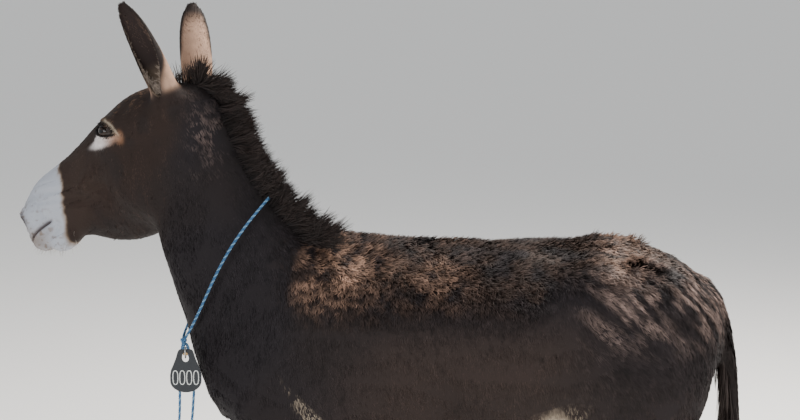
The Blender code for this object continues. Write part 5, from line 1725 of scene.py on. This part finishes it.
def tag_digits():
    """Four plain noughts, raised a hair from the plate."""
    vertices, faces = [], []
    half_wide, half_high, stroke, pitch, turns = 0.0065, 0.0165, 0.0019, 0.0154, 28
    for digit in range(4):
        middle = (digit - 1.5) * pitch
        for angle in circle(turns):
            a = math.copysign(abs(math.cos(angle)) ** 0.75, math.cos(angle))
            b = math.copysign(abs(math.sin(angle)) ** 0.75, math.sin(angle))
            for out, y in ((0, 0.0002), (0, -0.0005), (stroke, -0.0005), (stroke, 0.0002)):
                vertices.append((middle + a * (half_wide - out), y, 0.034 + b * (half_high - out)))
        first = digit * turns * 4
        for turn in range(turns):
            a, b = first + turn * 4, first + (turn + 1) % turns * 4
            faces += [(a + k, a + (k + 1) % 4, b + (k + 1) % 4, b + k) for k in range(4)]
    places = np.array(vertices) + np.array(TAG_AT)
    return clean_object(mesh_of("tag_digits", places, np.array(faces), material("tag_paint", 0.5),
                                tinted(places, DIGIT_PALE)))


def wire_ring(name, points, radius, look, tint):
    """A round wire along a closed line, as a mesh."""
    points = np.asarray(points, float)
    count, around = len(points), 10
    along = unit(np.roll(points, -1, 0) - np.roll(points, 1, 0))
    side = unit(np.cross(along, (1.0, 0.05, 0.1)))
    other = np.cross(along, side)
    vertices = [points[i] + radius * (side[i] * math.cos(a) + other[i] * math.sin(a))
                for i in range(count) for a in circle(around)]
    faces = tube_faces(count, around, closed=True)
    return clean_object(mesh_of(name, np.array(vertices), faces, look, tinted(vertices, tint)))


def ferrule():
    """The tan sleeve that joins the clip to the tag."""
    turns, rows = 24, 9
    x, y, _ = CLIP_AT
    low, high = TAG_AT[2] + TAG_HEIGHT - 0.014, CLIP_AT[2] - CLIP_LONG + 0.016
    vertices, tints = [], []
    for row in range(rows):
        share = row / (rows - 1)
        swell = 0.0062 * (1 - 0.25 * abs(2 * share - 1) ** 6)
        for turn, angle in enumerate(circle(turns)):
            vertices.append((x + math.cos(angle) * swell, y + 0.002 + math.sin(angle) * swell * 0.6,
                             low + (high - low) * share))
            tints.append(LEATHER * (0.85 + 0.15 * math.sin(turn * 2.1 + row)))
    look = add_bump(material("ferrule_leather", 0.7), 0.002, 0.4, 0.0005)
    made = mesh_of("tag_ferrule", np.array(vertices), tube_faces(rows, turns), look, np.array(tints))
    return reworked(made, lambda work: bmesh.ops.holes_fill(work, edges=open_edges(work)))


# ---------------------------------------------------------------- stage, light and camera
FLOOR_RADIUS, FLOOR_TINT, SKY_TINT = 400, (0.95, 0.94, 0.92, 1), (0.92, 0.94, 0.96, 1)
LAMPS_AIM = (0.0, 0.0, 0.9)
# Each lamp's place, size across, power and tint.
LAMPS = [("key", (2.4, 1.6, 4.6), 1.6, 520, (1.0, 0.94, 0.87)),
         ("front", (-3.6, -5.0, 3.2), 3.5, 190, (0.92, 0.96, 1.0)),
         ("rear", (4.0, -3.5, 2.8), 3.0, 120, (1.0, 0.98, 0.95))]
CAMERA_AT, CAMERA_DIP, CAMERA_LENS, CAMERA_REACH = (0.061, -4.071, 1.7), 7.2, 80.0, 1000


def build_stage():
    """A plain floor, a pale sky and three soft lamps."""
    bpy.ops.mesh.primitive_circle_add(vertices=96, radius=FLOOR_RADIUS, fill_type="NGON",
                                      location=(0, 0, 0))
    floor = bpy.context.object
    floor.name = "floor"
    look = bpy.data.materials.new("floor")
    look.use_nodes = True
    shader = look.node_tree.nodes["Principled BSDF"]
    shader.inputs["Base Color"].default_value = FLOOR_TINT
    shader.inputs["Roughness"].default_value = 0.9
    floor.data.materials.append(look)
    world = bpy.data.worlds.new("studio")
    bpy.context.scene.world = world
    world.use_nodes = True
    sky = world.node_tree.nodes["Background"]
    sky.inputs["Color"].default_value = SKY_TINT
    sky.inputs["Strength"].default_value = 0.72
    for name, place, size, power, tint in LAMPS:
        light = bpy.data.lights.new(name, "AREA")
        light.size, light.energy, light.color = size, power, tint
        lamp = bpy.data.objects.new(name, light)
        bpy.context.scene.collection.objects.link(lamp)
        lamp.location = place
        aim = np.array(LAMPS_AIM) - np.array(place)
        lamp.rotation_euler = (math.atan2(math.hypot(aim[0], aim[1]), -aim[2]), 0,
                               math.atan2(-aim[0], aim[1]))


def build_camera():
    camera = bpy.data.objects.new("camera", bpy.data.cameras.new("camera"))
    bpy.context.scene.collection.objects.link(camera)
    camera.location = CAMERA_AT
    camera.rotation_euler = (math.radians(90 - CAMERA_DIP), 0, 0)
    camera.data.sensor_width, camera.data.lens, camera.data.clip_end = 36, CAMERA_LENS, CAMERA_REACH
    bpy.context.scene.camera = camera


# ---------------------------------------------------------------- putting it together
def put(made, slot, *nodes):
    """Rides a piece on the body, and hides the nodes that it stands for. The slot is not used."""
    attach(made, "root")
    if nodes:
        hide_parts(*nodes)
    return made


def build():
    build_camera()
    build_stage()
    skin, p, normals, triangles = build_skin()
    put(skin, "coat", "head", "neck", "trunk", "tail", "ear_left", "ear_right",
        *("leg_" + name for name in LEGS))
    for piece in build_coat(p, normals, triangles):
        put(piece, "coat")
    put(mane_hair(), "mane", "mane")
    put(tail_hair(), "mane", "tail_switch")
    put(lashes(), "mane")
    for piece in (ear_fringe(), whiskers()):
        put(piece, "coat")
    for side, name in ((1, "left"), (-1, "right")):
        put(eyeball("eyeball_" + name, side), "eye", "eye_" + name)
    for name in LEGS:
        put(hoof_wall("hoof_wall_" + name, name), "horn", "hoof_" + name)
    rope = material("rope_fibre", 0.55)
    line = smooth_line(collar_route(), 0.0022)
    put(twisted("collar_cord", line, ROPE_RADIUS, rope, ROPE_PITCH), "rope", "collar_rope")
    put(twisted("collar_tied_knot", knot_line(), 0.0030, rope, 0.010), "rope", "collar_knot")
    for number, (name, route) in enumerate(ROPE_ENDS.items(), 1):
        path = smooth_line(route, 0.0020)
        cord = put(twisted("cord_end_%d" % number, path, ROPE_RADIUS, rope, ROPE_PITCH), "rope", name)
    put(tag_plate(), "tag", "tag")
    put(tag_digits(), "tag")
    steel = material("steel_wire", 0.30, Metallic=1.0)
    ring = [(CLIP_AT[0], CLIP_AT[1] + CLIP_RADIUS * math.cos(a), CLIP_AT[2] + CLIP_LONG * math.sin(a))
            for a in circle(40)]
    put(wire_ring("clip_wire", ring, CLIP_WIRE, steel, STEEL), "clip", "tag_clip")
    put(ferrule(), "tag")


build()
